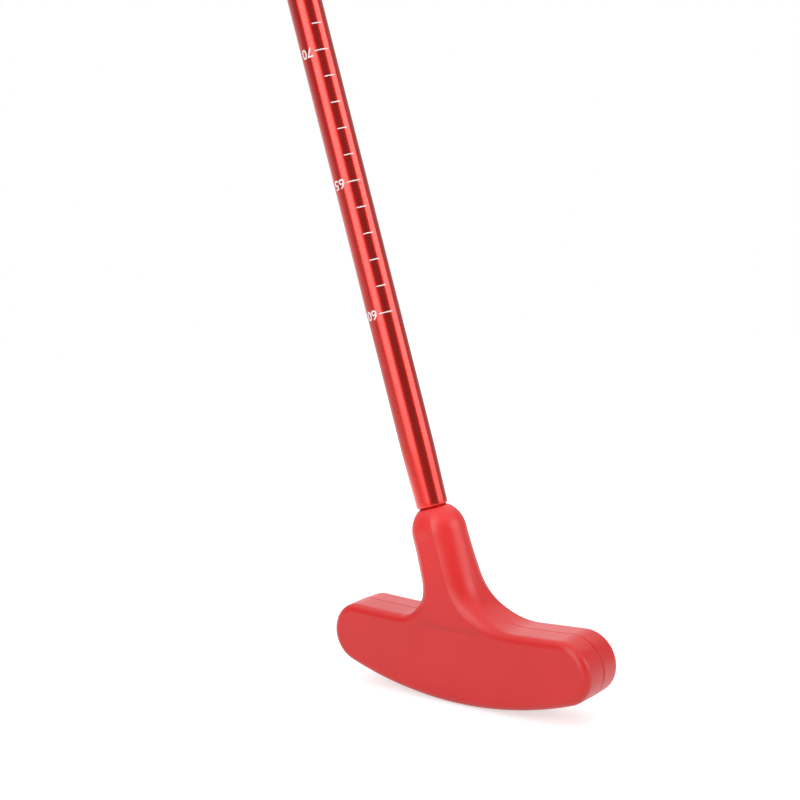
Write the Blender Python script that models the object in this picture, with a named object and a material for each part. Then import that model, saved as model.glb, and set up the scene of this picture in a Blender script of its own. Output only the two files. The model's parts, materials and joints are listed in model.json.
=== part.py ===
# Two-way golf putter with a telescopic shaft, leaning as at address.
# The origin is the middle of the hand hold, on the shaft's axis. +X runs from heel to toe,
# +Z is up, and -Y is the front striking face. Sizes are in millimetres until they reach a mesh.

import math

import bmesh
import bpy
from mathutils import Matrix, Vector

MM = 0.001
SHARP_ANGLE_DEG = 35.0

# The club as a whole. A station is a distance along the shaft's axis, up from the sole's level.
LIE_DEG = 75.8
CLUB_LENGTH = 900.0
HAND_STATION = 790.0
SHAFT_TO_HEAD_CENTRE = 3.66
GAP = 0.3

# Rubber head. Its outline lies in the middle plane, which is the mould's parting plane.
HEAD_LENGTH = 117.0
HEAD_HEIGHT = 31.9
HEAD_THICKNESS = 21.4
END_RADIUS = 12.0
TOP_DIP = 1.2
EDGE_RADIUS = 3.1
DRAFT_DEG = 0.9
HEEL_FILLET = 8.0
TOE_FILLET = 23.0
CREASE_HEIGHT = -1.0

# Neck of the rubber head. It is round at the cut and gets squarer down to the head.
NECK_RADIUS = 10.2
NECK_SHIFT = 0.25
NECK_TAPER_DEG = 2.0
NECK_CUT_STATION = 62.0
ROUNDNESS_POWER = 0.6
DOME_START_STATION = 64.5
DOME_HEIGHT = 11.1
DOME_TOP_RADIUS = 5.6
DOME_STEPS = 5
SECTION_STEPS = 5

# Steel core inside the head.
BAR_SIZE = (84.0, 11.0, 13.0)
BAR_CENTRE_HEIGHT = -15.0
BAR_ROUNDING = 1.0
ROD_RADIUS = 4.3
ROD_START_STATION = 12.0
ROD_END_STATION = 112.0
ROD_CHAMFER = 0.6
CORE_PIN_RADIUS = 1.5

# Lower tube, swaged down at its foot, and what is fixed in its top end.
LOWER_RADIUS = 6.15
TUBE_WALL = 0.9
FOOT_STATION = 74.2
FOOT_RADIUS = 5.5
FOOT_BORE = 4.6
FOOT_ROUNDING = 0.5
SWAGE_END_STATION = 97.2
LOWER_TOP_STATION = 574.0
BUSH_FLANGE_RADIUS = 6.35
BUSH_FLANGE = 3.0
BUSH_DEPTH = 24.0
BUSH_BORE = 3.0
RIVET_RADIUS = 1.25
RIVET_DEPTH = 12.0
RIVET_INSET = 0.1

# Upper tube. Its mouth reads 90 on the scale when the club is 900 mm long.
UPPER_RADIUS = 7.5
MOUTH_STATION = 448.9
SLOT_WIDTH = 1.2
SLOT_LENGTH = 22.0

# Clamp: a split collar with two ears, on the heel side of the shaft.
COLLAR_LENGTH = 28.0
COLLAR_BORE = 7.8
COLLAR_RADIUS = 10.2
COLLAR_LIP = 1.5
COLLAR_LIP_BORE = 7.0
COLLAR_CHAMFER = 1.0
RING_LENGTH = 3.4
RING_RADII = (6.45, 7.5)
EAR_ROOT = 7.9
EAR_REACH = 19.0
EAR_HALF_WIDTH = 6.5
EAR_HALF_HEIGHT = 7.5
EAR_ROUNDING = 2.0
CLAMP_SPLIT = 2.4

# Screw through the ears, with its knob on the rear side.
SCREW_OFFSET = 14.2
SCREW_RADIUS = 1.5
SCREW_HEAD_RADIUS = 2.9
SCREW_HEAD = 2.2
WASHER_RADIUS = 5.4
PLATE_THICKNESS = 0.8
PLATE_ROUNDING = 1.0
KNOB_RADIUS = 6.5
KNOB_RIB_DEPTH = 0.5
KNOB_THICKNESS = 5.5
KNOB_CHAMFER = 0.8

# Cam lever on the front side. It wraps round the collar when it is shut. Angles are about the shaft,
# or about the cam for its own arc.
CAM_RADIUS = 4.6
CAM_ECCENTRICITY = 0.4
CAM_ARC_DEG = (20.0, 270.0)
LEVER_PIN_RADIUS = 2.75
LEVER_PIN_CHAMFER = 0.5
LEVER_HALF_HEIGHT = 6.4
FORK_HALF_GAP = 2.6
FORK_ROOT = 3.6
LEVER_GAP = 0.5
LEVER_WALL = 2.7
LEVER_ARC_DEG = (-118.0, -30.0)
LEVER_OUTER_ARC_DEG = (-106.5, -32.9)
LEVER_TAB_INNER = (-18.0, 3.0)
LEVER_TAB_OUTER = (-25.0, 2.4)

# Grip. The swell gives points of its taper, as shares of its length and of its growth in radius.
GRIP_START_STATION = 640.0
GRIP_RADII = (10.0, 13.2)
GRIP_SWELL = ((0.45, 0.35), (0.85, 0.8))
GRIP_END_ROUNDING = 1.5
GRIP_BORE = 8.4
TAPE_RADII = (7.8, 8.1)
TAPE_INSET = 5.0
GRIP_RING_LENGTH = 7.0
GRIP_RING_CONE = 5.0
GRIP_RING_RADII = (8.8, 10.0)
CAP_THICKNESS = 7.0
CAP_RADIUS = 13.0
CAP_ROUNDING = 2.5
CAP_STEM_RADIUS = 6.2
CAP_STEM_LENGTH = 13.0

ROUND_SEGMENTS = 32
SMALL_SEGMENTS = 20

LEAN = math.radians(90.0 - LIE_DEG)
SHAFT_UP = Vector((-math.sin(LEAN), 0.0, math.cos(LEAN)))
SHAFT_SIDE = Vector((math.cos(LEAN), 0.0, math.sin(LEAN)))
TOP_STATION = HEAD_HEIGHT / math.cos(LEAN)
END_X = HEAD_LENGTH / 2 - END_RADIUS
UPPER_START_STATION = MOUTH_STATION + COLLAR_LIP + RING_LENGTH + 2 * GAP
TUBE_END_STATION = CLUB_LENGTH - CAP_THICKNESS - GAP
LOCK_STATION = MOUTH_STATION + COLLAR_LENGTH / 2
PLATE_NEAR = EAR_HALF_WIDTH + GAP
PLATE_FAR = PLATE_NEAR + PLATE_THICKNESS
LEVER_PIN_OFFSET = PLATE_FAR + GAP + CAM_RADIUS
KNOB_NEAR = PLATE_FAR + GAP
LOWER_BORE = LOWER_RADIUS - TUBE_WALL
ORIGIN = (0.0, 0.0, 0.0)
TURN_TO_Y = (-math.pi / 2, 0.0, 0.0)


def clear_scene():
    for obj in list(bpy.data.objects):
        bpy.data.objects.remove(obj, do_unlink=True)


def make_material(name, colour, roughness, metallic=0.0):
    material = bpy.data.materials.new(name)
    material.use_nodes = True
    shader = material.node_tree.nodes["Principled BSDF"]
    shader.inputs["Base Color"].default_value = (*colour, 1.0)
    shader.inputs["Roughness"].default_value = roughness
    shader.inputs["Metallic"].default_value = metallic
    return material


def make_empty(name, parent=None, location=ORIGIN, rotation=ORIGIN):
    empty = bpy.data.objects.new(name, None)
    empty.empty_display_size = 0.03
    empty.parent = parent
    empty.location = [value * MM for value in location]
    empty.rotation_euler = rotation
    bpy.context.scene.collection.objects.link(empty)
    return empty


def make_object(name, mesh_data, parent, material=None, location=ORIGIN, rotation=ORIGIN):
    # The bmesh is in millimetres and the object in metres.
    bmesh.ops.recalc_face_normals(mesh_data, faces=mesh_data.faces)
    bmesh.ops.scale(mesh_data, vec=(MM, MM, MM), verts=mesh_data.verts)
    mesh = bpy.data.meshes.new(name)
    mesh_data.to_mesh(mesh)
    mesh_data.free()
    obj = bpy.data.objects.new(name, mesh)
    obj.parent = parent
    obj.location = [value * MM for value in location]
    obj.rotation_euler = rotation
    bpy.context.scene.collection.objects.link(obj)
    mesh.shade_smooth()
    mesh.set_sharp_from_angle(angle=math.radians(SHARP_ANGLE_DEG))
    if material is not None:
        mesh.materials.append(material)
    return obj


def turned_mesh(profile, closed=True, segments=ROUND_SEGMENTS):
    # Spins (radius, height) points round Z. A closed profile makes a ring, an open one starts and ends on Z.
    mesh_data = bmesh.new()
    points = [mesh_data.verts.new((radius, 0.0, height)) for radius, height in profile]
    pairs = list(zip(points, points[1:]))
    if closed:
        pairs.append((points[-1], points[0]))
    edges = [mesh_data.edges.new(pair) for pair in pairs]
    bmesh.ops.spin(
        mesh_data,
        geom=points + edges,
        cent=(0.0, 0.0, 0.0),
        axis=(0.0, 0.0, 1.0),
        angle=math.tau,
        steps=segments,
        use_merge=True,
    )
    bmesh.ops.remove_doubles(mesh_data, verts=mesh_data.verts, dist=1e-4)
    return mesh_data


def ring_profile(inner, outer, start, end):
    return [(inner, start), (outer, start), (outer, end), (inner, end)]


def rod_profile(radius, start, end, chamfer=0.0):
    profile = [(0.0, start), (radius - chamfer, start)]
    if chamfer:
        profile += [(radius, start + chamfer), (radius, end - chamfer)]
    return profile + [(radius - chamfer, end), (0.0, end)]


def rod_mesh(radius, start, end, chamfer=0.0, segments=ROUND_SEGMENTS):
    return turned_mesh(rod_profile(radius, start, end, chamfer), closed=False, segments=segments)


def box_mesh(low, high, rounding=0.0, rounding_axis=0):
    # A box between two corners. The rounding goes on the edges that run along rounding_axis.
    mesh_data = bmesh.new()
    size = [b - a for a, b in zip(low, high)]
    middle = [(a + b) / 2 for a, b in zip(low, high)]
    place = Matrix.Translation(middle) @ Matrix.Diagonal((*size, 1.0))
    bmesh.ops.create_cube(mesh_data, size=1.0, matrix=place)
    if rounding:
        edges = [e for e in mesh_data.edges if abs((e.verts[1].co - e.verts[0].co)[rounding_axis]) > GAP]
        bmesh.ops.bevel(mesh_data, geom=edges, offset=rounding, segments=3, affect="EDGES", profile=0.5)
    return mesh_data


def cut(obj, name, mesh_data, location=ORIGIN, rotation=ORIGIN, parent=None, operation="DIFFERENCE"):
    # Adds a Boolean whose other shape stays in the file as a hidden helper.
    helper = make_object(name, mesh_data, parent or obj.parent, None, location, rotation)
    helper.hide_render = True
    helper.display_type = "WIRE"
    modifier = obj.modifiers.new(name, "BOOLEAN")
    modifier.object = helper
    modifier.operation = operation
    modifier.solver = "EXACT"


# Rubber head and the steel core that it is moulded round


def plane_point(station, side):
    # A point of the middle plane from its place on the shaft's axis; height 0 is the head's top level.
    point = (station - TOP_STATION) * SHAFT_UP + side * SHAFT_SIDE
    return Vector((point.x - SHAFT_TO_HEAD_CENTRE, point.z))


def arc_points(centre, radius, start, end, steps):
    angles = [start + (end - start) * step / steps for step in range(steps + 1)]
    return [centre + radius * Vector((math.cos(angle), math.sin(angle))) for angle in angles]


def angle_of(vector):
    return math.atan2(vector.y, vector.x)


def top_circle():
    # The shallow hollow of the head's top is a large circle above it that touches both end circles.
    radius = (END_X**2 + TOP_DIP**2) / (2 * TOP_DIP) - END_RADIUS
    return Vector((0.0, radius - TOP_DIP)), radius


def sole_circle():
    drop = HEAD_HEIGHT - END_RADIUS
    radius = (END_X**2 + drop**2 - END_RADIUS**2) / (2 * (drop - END_RADIUS))
    return Vector((0.0, radius - HEAD_HEIGHT)), radius


def neck_side(side, fillet_radius, steps):
    # Points from the cut down one side of the neck and round the fillet on to the head's top.
    taper = math.radians(NECK_TAPER_DEG)
    start = plane_point(NECK_CUT_STATION, NECK_SHIFT + side * NECK_RADIUS)
    up = Vector((SHAFT_UP.x, SHAFT_UP.z))
    across = Vector((SHAFT_SIDE.x, SHAFT_SIDE.z)) * side
    down = across * math.sin(taper) - up * math.cos(taper)
    outward = across * math.cos(taper) + up * math.sin(taper)
    big_centre, big_radius = top_circle()
    # The fillet's centre is one radius off the neck's side and one radius inside the top circle.
    base = start + outward * fillet_radius - big_centre
    half = base.dot(down)
    travel = -half + math.sqrt(half**2 - base.length_squared + (big_radius - fillet_radius) ** 2)
    centre = base + down * travel + big_centre
    first = angle_of(-outward)
    turn = (angle_of(centre - big_centre) - first + math.pi) % math.tau - math.pi
    fillet = arc_points(centre, fillet_radius, first, first + turn, steps)
    return [start.lerp(fillet[0], step / 3) for step in range(3)] + fillet


def blends(points):
    # How far each point of a neck side is towards the cut, by length: 1 at the cut and 0 on the head.
    lengths = [(b - a).length for a, b in zip(points, points[1:])]
    return [1.0 - sum(lengths[:index]) / sum(lengths) for index in range(len(points))]


def head_outline():
    # (point, blend) pairs from the neck's heel side, down and round the head, to the neck's toe side.
    heel = neck_side(-1, HEEL_FILLET, 5)
    toe = neck_side(1, TOE_FILLET, 8)
    big_centre, big_radius = top_circle()
    sole_centre, sole_radius = sole_circle()
    heel_end = Vector((-END_X, -END_RADIUS))
    toe_end = Vector((END_X, -END_RADIUS))
    touch_top = angle_of(big_centre - heel_end)
    touch_sole = angle_of(heel_end - sole_centre)
    heel_angles = [angle_of(point - big_centre) for point in (heel[-1], heel_end)]
    toe_angles = [angle_of(point - big_centre) for point in (toe_end, toe[-1])]
    heel_top = arc_points(big_centre, big_radius, *heel_angles, 2)
    toe_top = arc_points(big_centre, big_radius, *toe_angles, 2)
    plain = heel_top[1:-1]
    plain += arc_points(heel_end, END_RADIUS, touch_top, math.tau + touch_sole, 9)
    plain += arc_points(sole_centre, sole_radius, touch_sole, -math.pi - touch_sole, 14)[1:-1]
    plain += arc_points(toe_end, END_RADIUS, -math.pi - touch_sole, math.pi - touch_top, 9)
    plain += toe_top[1:-1]
    outline = list(zip(heel, blends(heel)))
    outline += [(point, 0.0) for point in plain]
    outline += list(zip(toe, blends(toe)))[::-1]
    return outline


def edge_section(point, inward, blend):
    # Points from the middle plane over the rounded edge to the face, each (place in the plane, depth).
    rounding = EDGE_RADIUS + (NECK_RADIUS - EDGE_RADIUS) * blend**ROUNDNESS_POWER
    face_point = point + inward * rounding
    apex = plane_point(NECK_CUT_STATION, NECK_SHIFT)
    rise = min(max((face_point.y - CREASE_HEIGHT) / (apex.y - CREASE_HEIGHT), 0.0), 1.0)
    half = HEAD_THICKNESS / 2 + (NECK_RADIUS - HEAD_THICKNESS / 2) * rise
    flank = max(half - rounding, 0.0)
    quarter = rounding * math.pi / 2
    weight = min(flank / 2.0, 1.0)
    draft = math.tan(math.radians(DRAFT_DEG))
    section = []
    for step in range(SECTION_STEPS + 1):
        even = (flank + quarter) * step / SECTION_STEPS
        cornered = flank + quarter * (step - 1) / (SECTION_STEPS - 1) if step else 0.0
        travel = (1.0 - weight) * even + weight * cornered
        angle = max(travel - flank, 0.0) / rounding
        inset = draft * min(travel, flank) + rounding * (1.0 - math.cos(angle))
        depth = min(travel, flank) + rounding * math.sin(angle)
        section.append((point + inward * inset, depth))
    return section, rise


def head_mesh():
    outline = head_outline()
    mesh_data = bmesh.new()
    columns = []
    rises = []
    for index, (point, blend) in enumerate(outline):
        before = outline[max(index - 1, 0)][0]
        after = outline[min(index + 1, len(outline) - 1)][0]
        tangent = (after - before).normalized()
        inward = Vector((-tangent.y, tangent.x))
        if index in (0, len(outline) - 1):
            across = Vector((SHAFT_SIDE.x, SHAFT_SIDE.z))
            inward = across if index == 0 else -across
        section, rise = edge_section(point, inward, blend)
        rear = [mesh_data.verts.new((place.x, depth, place.y)) for place, depth in section]
        front = [mesh_data.verts.new((place.x, -depth, place.y)) for place, depth in section[1:]]
        columns.append(front[::-1] + rear)
        rises.append(rise)
    for left, right in zip(columns, columns[1:]):
        for row in range(len(left) - 1):
            mesh_data.faces.new((left[row], left[row + 1], right[row + 1], right[row]))
    # Each flat face is one polygon, and above the crease the neck's facet is another.
    flat = [index for index, rise in enumerate(rises) if rise == 0.0]
    first, last = flat[0], flat[-1]
    for side in (0, -1):
        loop = [column[side] for column in columns]
        mesh_data.faces.new(loop[first : last + 1])
        mesh_data.faces.new(loop[: first + 1] + loop[last:])
    bmesh.ops.remove_doubles(mesh_data, verts=mesh_data.verts, dist=1e-3)
    add_dome(mesh_data)
    bmesh.ops.triangulate(mesh_data, faces=[face for face in mesh_data.faces if len(face.verts) > 4])
    return mesh_data


def dome_radius(station):
    climb = max(station - DOME_START_STATION, 0.0) / DOME_HEIGHT
    return NECK_RADIUS * math.sqrt(1.0 - climb**2)


def add_dome(mesh_data):
    # Extrudes the open ring at the cut upwards, drawing it in, and closes it with a flat top.
    top_climb = math.sqrt(1.0 - (DOME_TOP_RADIUS / NECK_RADIUS) ** 2)
    stations = [DOME_START_STATION]
    for step in range(1, DOME_STEPS + 1):
        angle = math.asin(top_climb) * step / DOME_STEPS
        stations.append(DOME_START_STATION + DOME_HEIGHT * math.sin(angle))
    edges = [edge for edge in mesh_data.edges if edge.is_boundary]
    station, radius = NECK_CUT_STATION, NECK_RADIUS
    for next_station in stations:
        extruded = bmesh.ops.extrude_edge_only(mesh_data, edges=edges)["geom"]
        points = [item for item in extruded if isinstance(item, bmesh.types.BMVert)]
        edges = [item for item in extruded if isinstance(item, bmesh.types.BMEdge)]
        centre = plane_point(station, NECK_SHIFT)
        next_centre = plane_point(next_station, NECK_SHIFT)
        factor = dome_radius(next_station) / radius
        for point in points:
            point.co.x = next_centre.x + (point.co.x - centre.x) * factor
            point.co.y *= factor
            point.co.z = next_centre.y + (point.co.z - centre.y) * factor
        station, radius = next_station, dome_radius(next_station)
    bmesh.ops.contextual_create(mesh_data, geom=edges)


def make_head(head_datum, shaft_lower, rubber, steel):
    head = make_object("rubber_head", head_mesh(), head_datum, rubber)
    half = [size / 2 for size in BAR_SIZE]
    low = (-half[0], -half[1], BAR_CENTRE_HEIGHT - half[2])
    high = (half[0], half[1], BAR_CENTRE_HEIGHT + half[2])
    pocket_low = [value - GAP for value in low]
    pocket_high = [value + GAP for value in high]
    cut(head, "bar_pocket", box_mesh(pocket_low, pocket_high))
    # The rod's bore starts inside the bar's pocket and opens at the top of the dome.
    bore = rod_mesh(ROD_RADIUS + GAP, TOP_STATION + BAR_CENTRE_HEIGHT, SWAGE_END_STATION)
    cut(head, "rod_bore", bore, parent=shaft_lower)
    bar = make_object("weight_bar", box_mesh(low, high, BAR_ROUNDING, rounding_axis=1), head_datum, steel)
    cut(bar, "bar_bore", rod_mesh(ROD_RADIUS + GAP, 0.0, ROD_END_STATION), parent=shaft_lower)
    rod_shape = rod_mesh(ROD_RADIUS, ROD_START_STATION, ROD_END_STATION, ROD_CHAMFER)
    rod = make_object("hosel_rod", rod_shape, shaft_lower, steel)

    pin_place = (0.0, 0.0, TOP_STATION + BAR_CENTRE_HEIGHT / math.cos(LEAN))
    for owner, name in ((bar, "bar_pin_hole"), (rod, "rod_pin_hole")):
        hole = rod_mesh(CORE_PIN_RADIUS + GAP, -BAR_SIZE[1], BAR_SIZE[1], segments=SMALL_SEGMENTS)
        cut(owner, name, hole, pin_place, TURN_TO_Y, shaft_lower)
    pin = rod_mesh(CORE_PIN_RADIUS, GAP - half[1], half[1] - GAP, segments=SMALL_SEGMENTS)
    make_object("core_pin", pin, shaft_lower, steel, pin_place, TURN_TO_Y)


# Tubes


def make_lower_tube(shaft_lower, anodised, plastic, aluminium):
    swage = SWAGE_END_STATION - FOOT_STATION
    length = LOWER_TOP_STATION - FOOT_STATION
    profile = [
        (FOOT_BORE, 0.0),
        (FOOT_RADIUS - FOOT_ROUNDING, 0.0),
        (FOOT_RADIUS, FOOT_ROUNDING),
        (LOWER_RADIUS, swage),
        (LOWER_RADIUS, length),
        (LOWER_BORE, length),
        (LOWER_BORE, swage),
    ]
    place = (0.0, 0.0, FOOT_STATION)
    tube = make_object("lower_tube", turned_mesh(profile), shaft_lower, anodised, place)
    stem = LOWER_BORE - GAP
    seat = LOWER_TOP_STATION + GAP
    bush_profile = [
        (BUSH_BORE, -BUSH_DEPTH),
        (stem, -BUSH_DEPTH),
        (stem, 0.0),
        (BUSH_FLANGE_RADIUS, 0.0),
        (BUSH_FLANGE_RADIUS, BUSH_FLANGE),
        (BUSH_BORE, BUSH_FLANGE),
    ]
    bush = make_object("guide_bush", turned_mesh(bush_profile), shaft_lower, plastic, (0.0, 0.0, seat))
    rivet_place = (0.0, 0.0, LOWER_TOP_STATION - RIVET_DEPTH)
    for owner, name in ((tube, "tube_rivet_hole"), (bush, "bush_rivet_hole")):
        hole = rod_mesh(RIVET_RADIUS + GAP, -UPPER_RADIUS, UPPER_RADIUS, segments=SMALL_SEGMENTS)
        cut(owner, name, hole, rivet_place, TURN_TO_Y, shaft_lower)
    half = LOWER_RADIUS - RIVET_INSET
    rivet = rod_mesh(RIVET_RADIUS, -half, half, segments=SMALL_SEGMENTS)
    make_object("bush_rivet", rivet, shaft_lower, aluminium, rivet_place, TURN_TO_Y)


def make_upper_tube(shaft_upper, anodised, plastic):
    length = TUBE_END_STATION - UPPER_START_STATION
    profile = ring_profile(UPPER_RADIUS - TUBE_WALL, UPPER_RADIUS, 0.0, length)
    place = (0.0, 0.0, UPPER_START_STATION)
    tube = make_object("upper_tube", turned_mesh(profile), shaft_upper, anodised, place)
    low = (-COLLAR_RADIUS, -SLOT_WIDTH / 2, -SLOT_WIDTH)
    high = (COLLAR_RADIUS, SLOT_WIDTH / 2, SLOT_LENGTH)
    cut(tube, "tube_slots", box_mesh(low, high), place)
    ring_place = (0.0, 0.0, MOUTH_STATION + COLLAR_LIP + GAP)
    ring = turned_mesh(ring_profile(*RING_RADII, 0.0, RING_LENGTH))
    make_object("mouth_ring", ring, shaft_upper, plastic, ring_place)


# Clamp


def make_collar(shaft_upper, plastic):
    end = COLLAR_LENGTH
    profile = [
        (COLLAR_LIP_BORE, 0.0),
        (COLLAR_RADIUS - COLLAR_CHAMFER, 0.0),
        (COLLAR_RADIUS, COLLAR_CHAMFER),
        (COLLAR_RADIUS, end - COLLAR_CHAMFER),
        (COLLAR_RADIUS - COLLAR_CHAMFER, end),
        (COLLAR_BORE, end),
        (COLLAR_BORE, COLLAR_LIP),
        (COLLAR_LIP_BORE, COLLAR_LIP),
    ]
    place = (0.0, 0.0, MOUTH_STATION)
    collar = make_object("lock_collar", turned_mesh(profile), shaft_upper, plastic, place)
    middle = (0.0, 0.0, LOCK_STATION)
    ears = box_mesh(
        (-EAR_REACH, -EAR_HALF_WIDTH, -EAR_HALF_HEIGHT),
        (-EAR_ROOT, EAR_HALF_WIDTH, EAR_HALF_HEIGHT),
        EAR_ROUNDING,
        rounding_axis=1,
    )
    cut(collar, "ears", ears, middle, operation="UNION")
    split = box_mesh((-2 * EAR_REACH, -CLAMP_SPLIT / 2, -end), (-LOWER_BORE, CLAMP_SPLIT / 2, end))
    cut(collar, "clamp_split", split, middle)
    screw_place = (-SCREW_OFFSET, 0.0, LOCK_STATION)
    hole = rod_mesh(SCREW_RADIUS + GAP, -EAR_REACH, EAR_REACH, segments=SMALL_SEGMENTS)
    cut(collar, "screw_hole", hole, screw_place, TURN_TO_Y)


def make_screw(screw_axis, shaft_upper, steel, plastic):
    # Along the screw's own axis, the rear side of the club is positive.
    head_start = KNOB_NEAR + KNOB_THICKNESS - SCREW_HEAD - GAP
    screw_end = -(LEVER_PIN_OFFSET + SCREW_RADIUS)
    screw_profile = [
        (0.0, screw_end),
        (SCREW_RADIUS, screw_end),
        (SCREW_RADIUS, head_start),
        (SCREW_HEAD_RADIUS, head_start),
        (SCREW_HEAD_RADIUS, head_start + SCREW_HEAD),
        (0.0, head_start + SCREW_HEAD),
    ]
    screw = turned_mesh(screw_profile, closed=False, segments=SMALL_SEGMENTS)
    make_object("knob_screw", screw, screw_axis, steel)
    far = KNOB_NEAR + KNOB_THICKNESS
    knob_profile = [
        (SCREW_RADIUS + GAP, KNOB_NEAR),
        (KNOB_RADIUS - KNOB_CHAMFER, KNOB_NEAR),
        (KNOB_RADIUS, KNOB_NEAR + KNOB_CHAMFER),
        (KNOB_RADIUS, far - KNOB_CHAMFER),
        (KNOB_RADIUS - KNOB_CHAMFER, far),
        (SCREW_HEAD_RADIUS + GAP, far),
        (SCREW_HEAD_RADIUS + GAP, head_start - GAP),
        (SCREW_RADIUS + GAP, head_start - GAP),
    ]
    knob = turned_mesh(knob_profile)
    for point in knob.verts:
        radius = math.hypot(point.co.x, point.co.y)
        segment = round(math.atan2(point.co.y, point.co.x) / math.tau * ROUND_SEGMENTS)
        if radius > SCREW_HEAD_RADIUS + 2 * GAP and segment % 2:
            factor = (radius - KNOB_RIB_DEPTH) / radius
            point.co.x *= factor
            point.co.y *= factor
    make_object("tension_knob", knob, screw_axis, plastic)
    washer = turned_mesh(
        ring_profile(SCREW_RADIUS + GAP, WASHER_RADIUS, PLATE_NEAR, PLATE_FAR), segments=SMALL_SEGMENTS
    )
    screw_place = (-SCREW_OFFSET, 0.0, LOCK_STATION)
    make_object("screw_washer", washer, shaft_upper, steel, screw_place, TURN_TO_Y)
    half = EAR_REACH - SCREW_OFFSET - GAP
    plate_low = (-half, -PLATE_FAR, -LEVER_HALF_HEIGHT)
    plate_high = (half, -PLATE_NEAR, LEVER_HALF_HEIGHT)
    plate_shape = box_mesh(plate_low, plate_high, PLATE_ROUNDING, rounding_axis=1)
    plate = make_object("cam_plate", plate_shape, shaft_upper, steel, screw_place)
    hole = rod_mesh(SCREW_RADIUS + GAP, -EAR_REACH, EAR_REACH, segments=SMALL_SEGMENTS)
    cut(plate, "plate_hole", hole, screw_place, TURN_TO_Y)


def arc_in_degrees(centre, radius, angles, steps):
    first, last = (math.radians(angle) for angle in angles)
    return arc_points(centre, radius, first, last, steps)


def point_at(radius, degrees):
    return radius * Vector((math.cos(math.radians(degrees)), math.sin(math.radians(degrees))))


def lever_outline():
    # The shut lever seen along the shaft, in the shaft's frame: cam, arm round the collar, and finger tab.
    inner = COLLAR_RADIUS + LEVER_GAP
    outer = inner + LEVER_WALL
    axis = Vector((0.0, 0.0))
    pin = Vector((-SCREW_OFFSET, -LEVER_PIN_OFFSET))
    cam_centre = pin + Vector((0.0, CAM_ECCENTRICITY))
    cam = arc_in_degrees(cam_centre, CAM_RADIUS - CAM_ECCENTRICITY, CAM_ARC_DEG, 12)
    outer_arc = arc_in_degrees(axis, outer, LEVER_OUTER_ARC_DEG, 8)
    inner_arc = arc_in_degrees(axis, inner, LEVER_ARC_DEG[::-1], 8)
    tab_degrees, tab_reach = LEVER_TAB_OUTER
    tab = [point_at(outer + tab_reach, tab_degrees)]
    tab_degrees, tab_reach = LEVER_TAB_INNER
    tab.append(point_at(inner + tab_reach, tab_degrees))
    return cam + outer_arc + tab + inner_arc, pin


def make_lever(lever_axis, shaft_upper, plastic, steel):
    outline, pin = lever_outline()
    mesh_data = bmesh.new()
    points = [mesh_data.verts.new((p.x - pin.x, p.y - pin.y, -LEVER_HALF_HEIGHT)) for p in outline]
    face = mesh_data.faces.new(points)
    extruded = bmesh.ops.extrude_face_region(mesh_data, geom=[face])["geom"]
    moved = [item for item in extruded if isinstance(item, bmesh.types.BMVert)]
    bmesh.ops.translate(mesh_data, verts=moved, vec=(0.0, 0.0, 2 * LEVER_HALF_HEIGHT))
    lever = make_object("lock_lever", mesh_data, lever_axis, plastic)
    reach = 2 * LEVER_HALF_HEIGHT
    pin_hole = rod_mesh(LEVER_PIN_RADIUS + GAP, -reach, reach, segments=SMALL_SEGMENTS)
    cut(lever, "lever_pin_hole", pin_hole)
    fork_low = (-2 * CAM_RADIUS, -2 * CAM_RADIUS, -FORK_HALF_GAP)
    fork_high = (FORK_ROOT, 2 * CAM_RADIUS, FORK_HALF_GAP)
    cut(lever, "lever_fork", box_mesh(fork_low, fork_high))
    pin_place = (-SCREW_OFFSET, -LEVER_PIN_OFFSET, LOCK_STATION)
    half = LEVER_HALF_HEIGHT
    pin_shape = rod_mesh(LEVER_PIN_RADIUS, -half, half, LEVER_PIN_CHAMFER, SMALL_SEGMENTS)
    pin_object = make_object("lever_pin", pin_shape, shaft_upper, steel, pin_place)
    bore = rod_mesh(SCREW_RADIUS + GAP, -LEVER_PIN_OFFSET, LEVER_PIN_OFFSET, segments=SMALL_SEGMENTS)
    cut(pin_object, "pin_cross_bore", bore, pin_place, TURN_TO_Y)


# Grip


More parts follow.
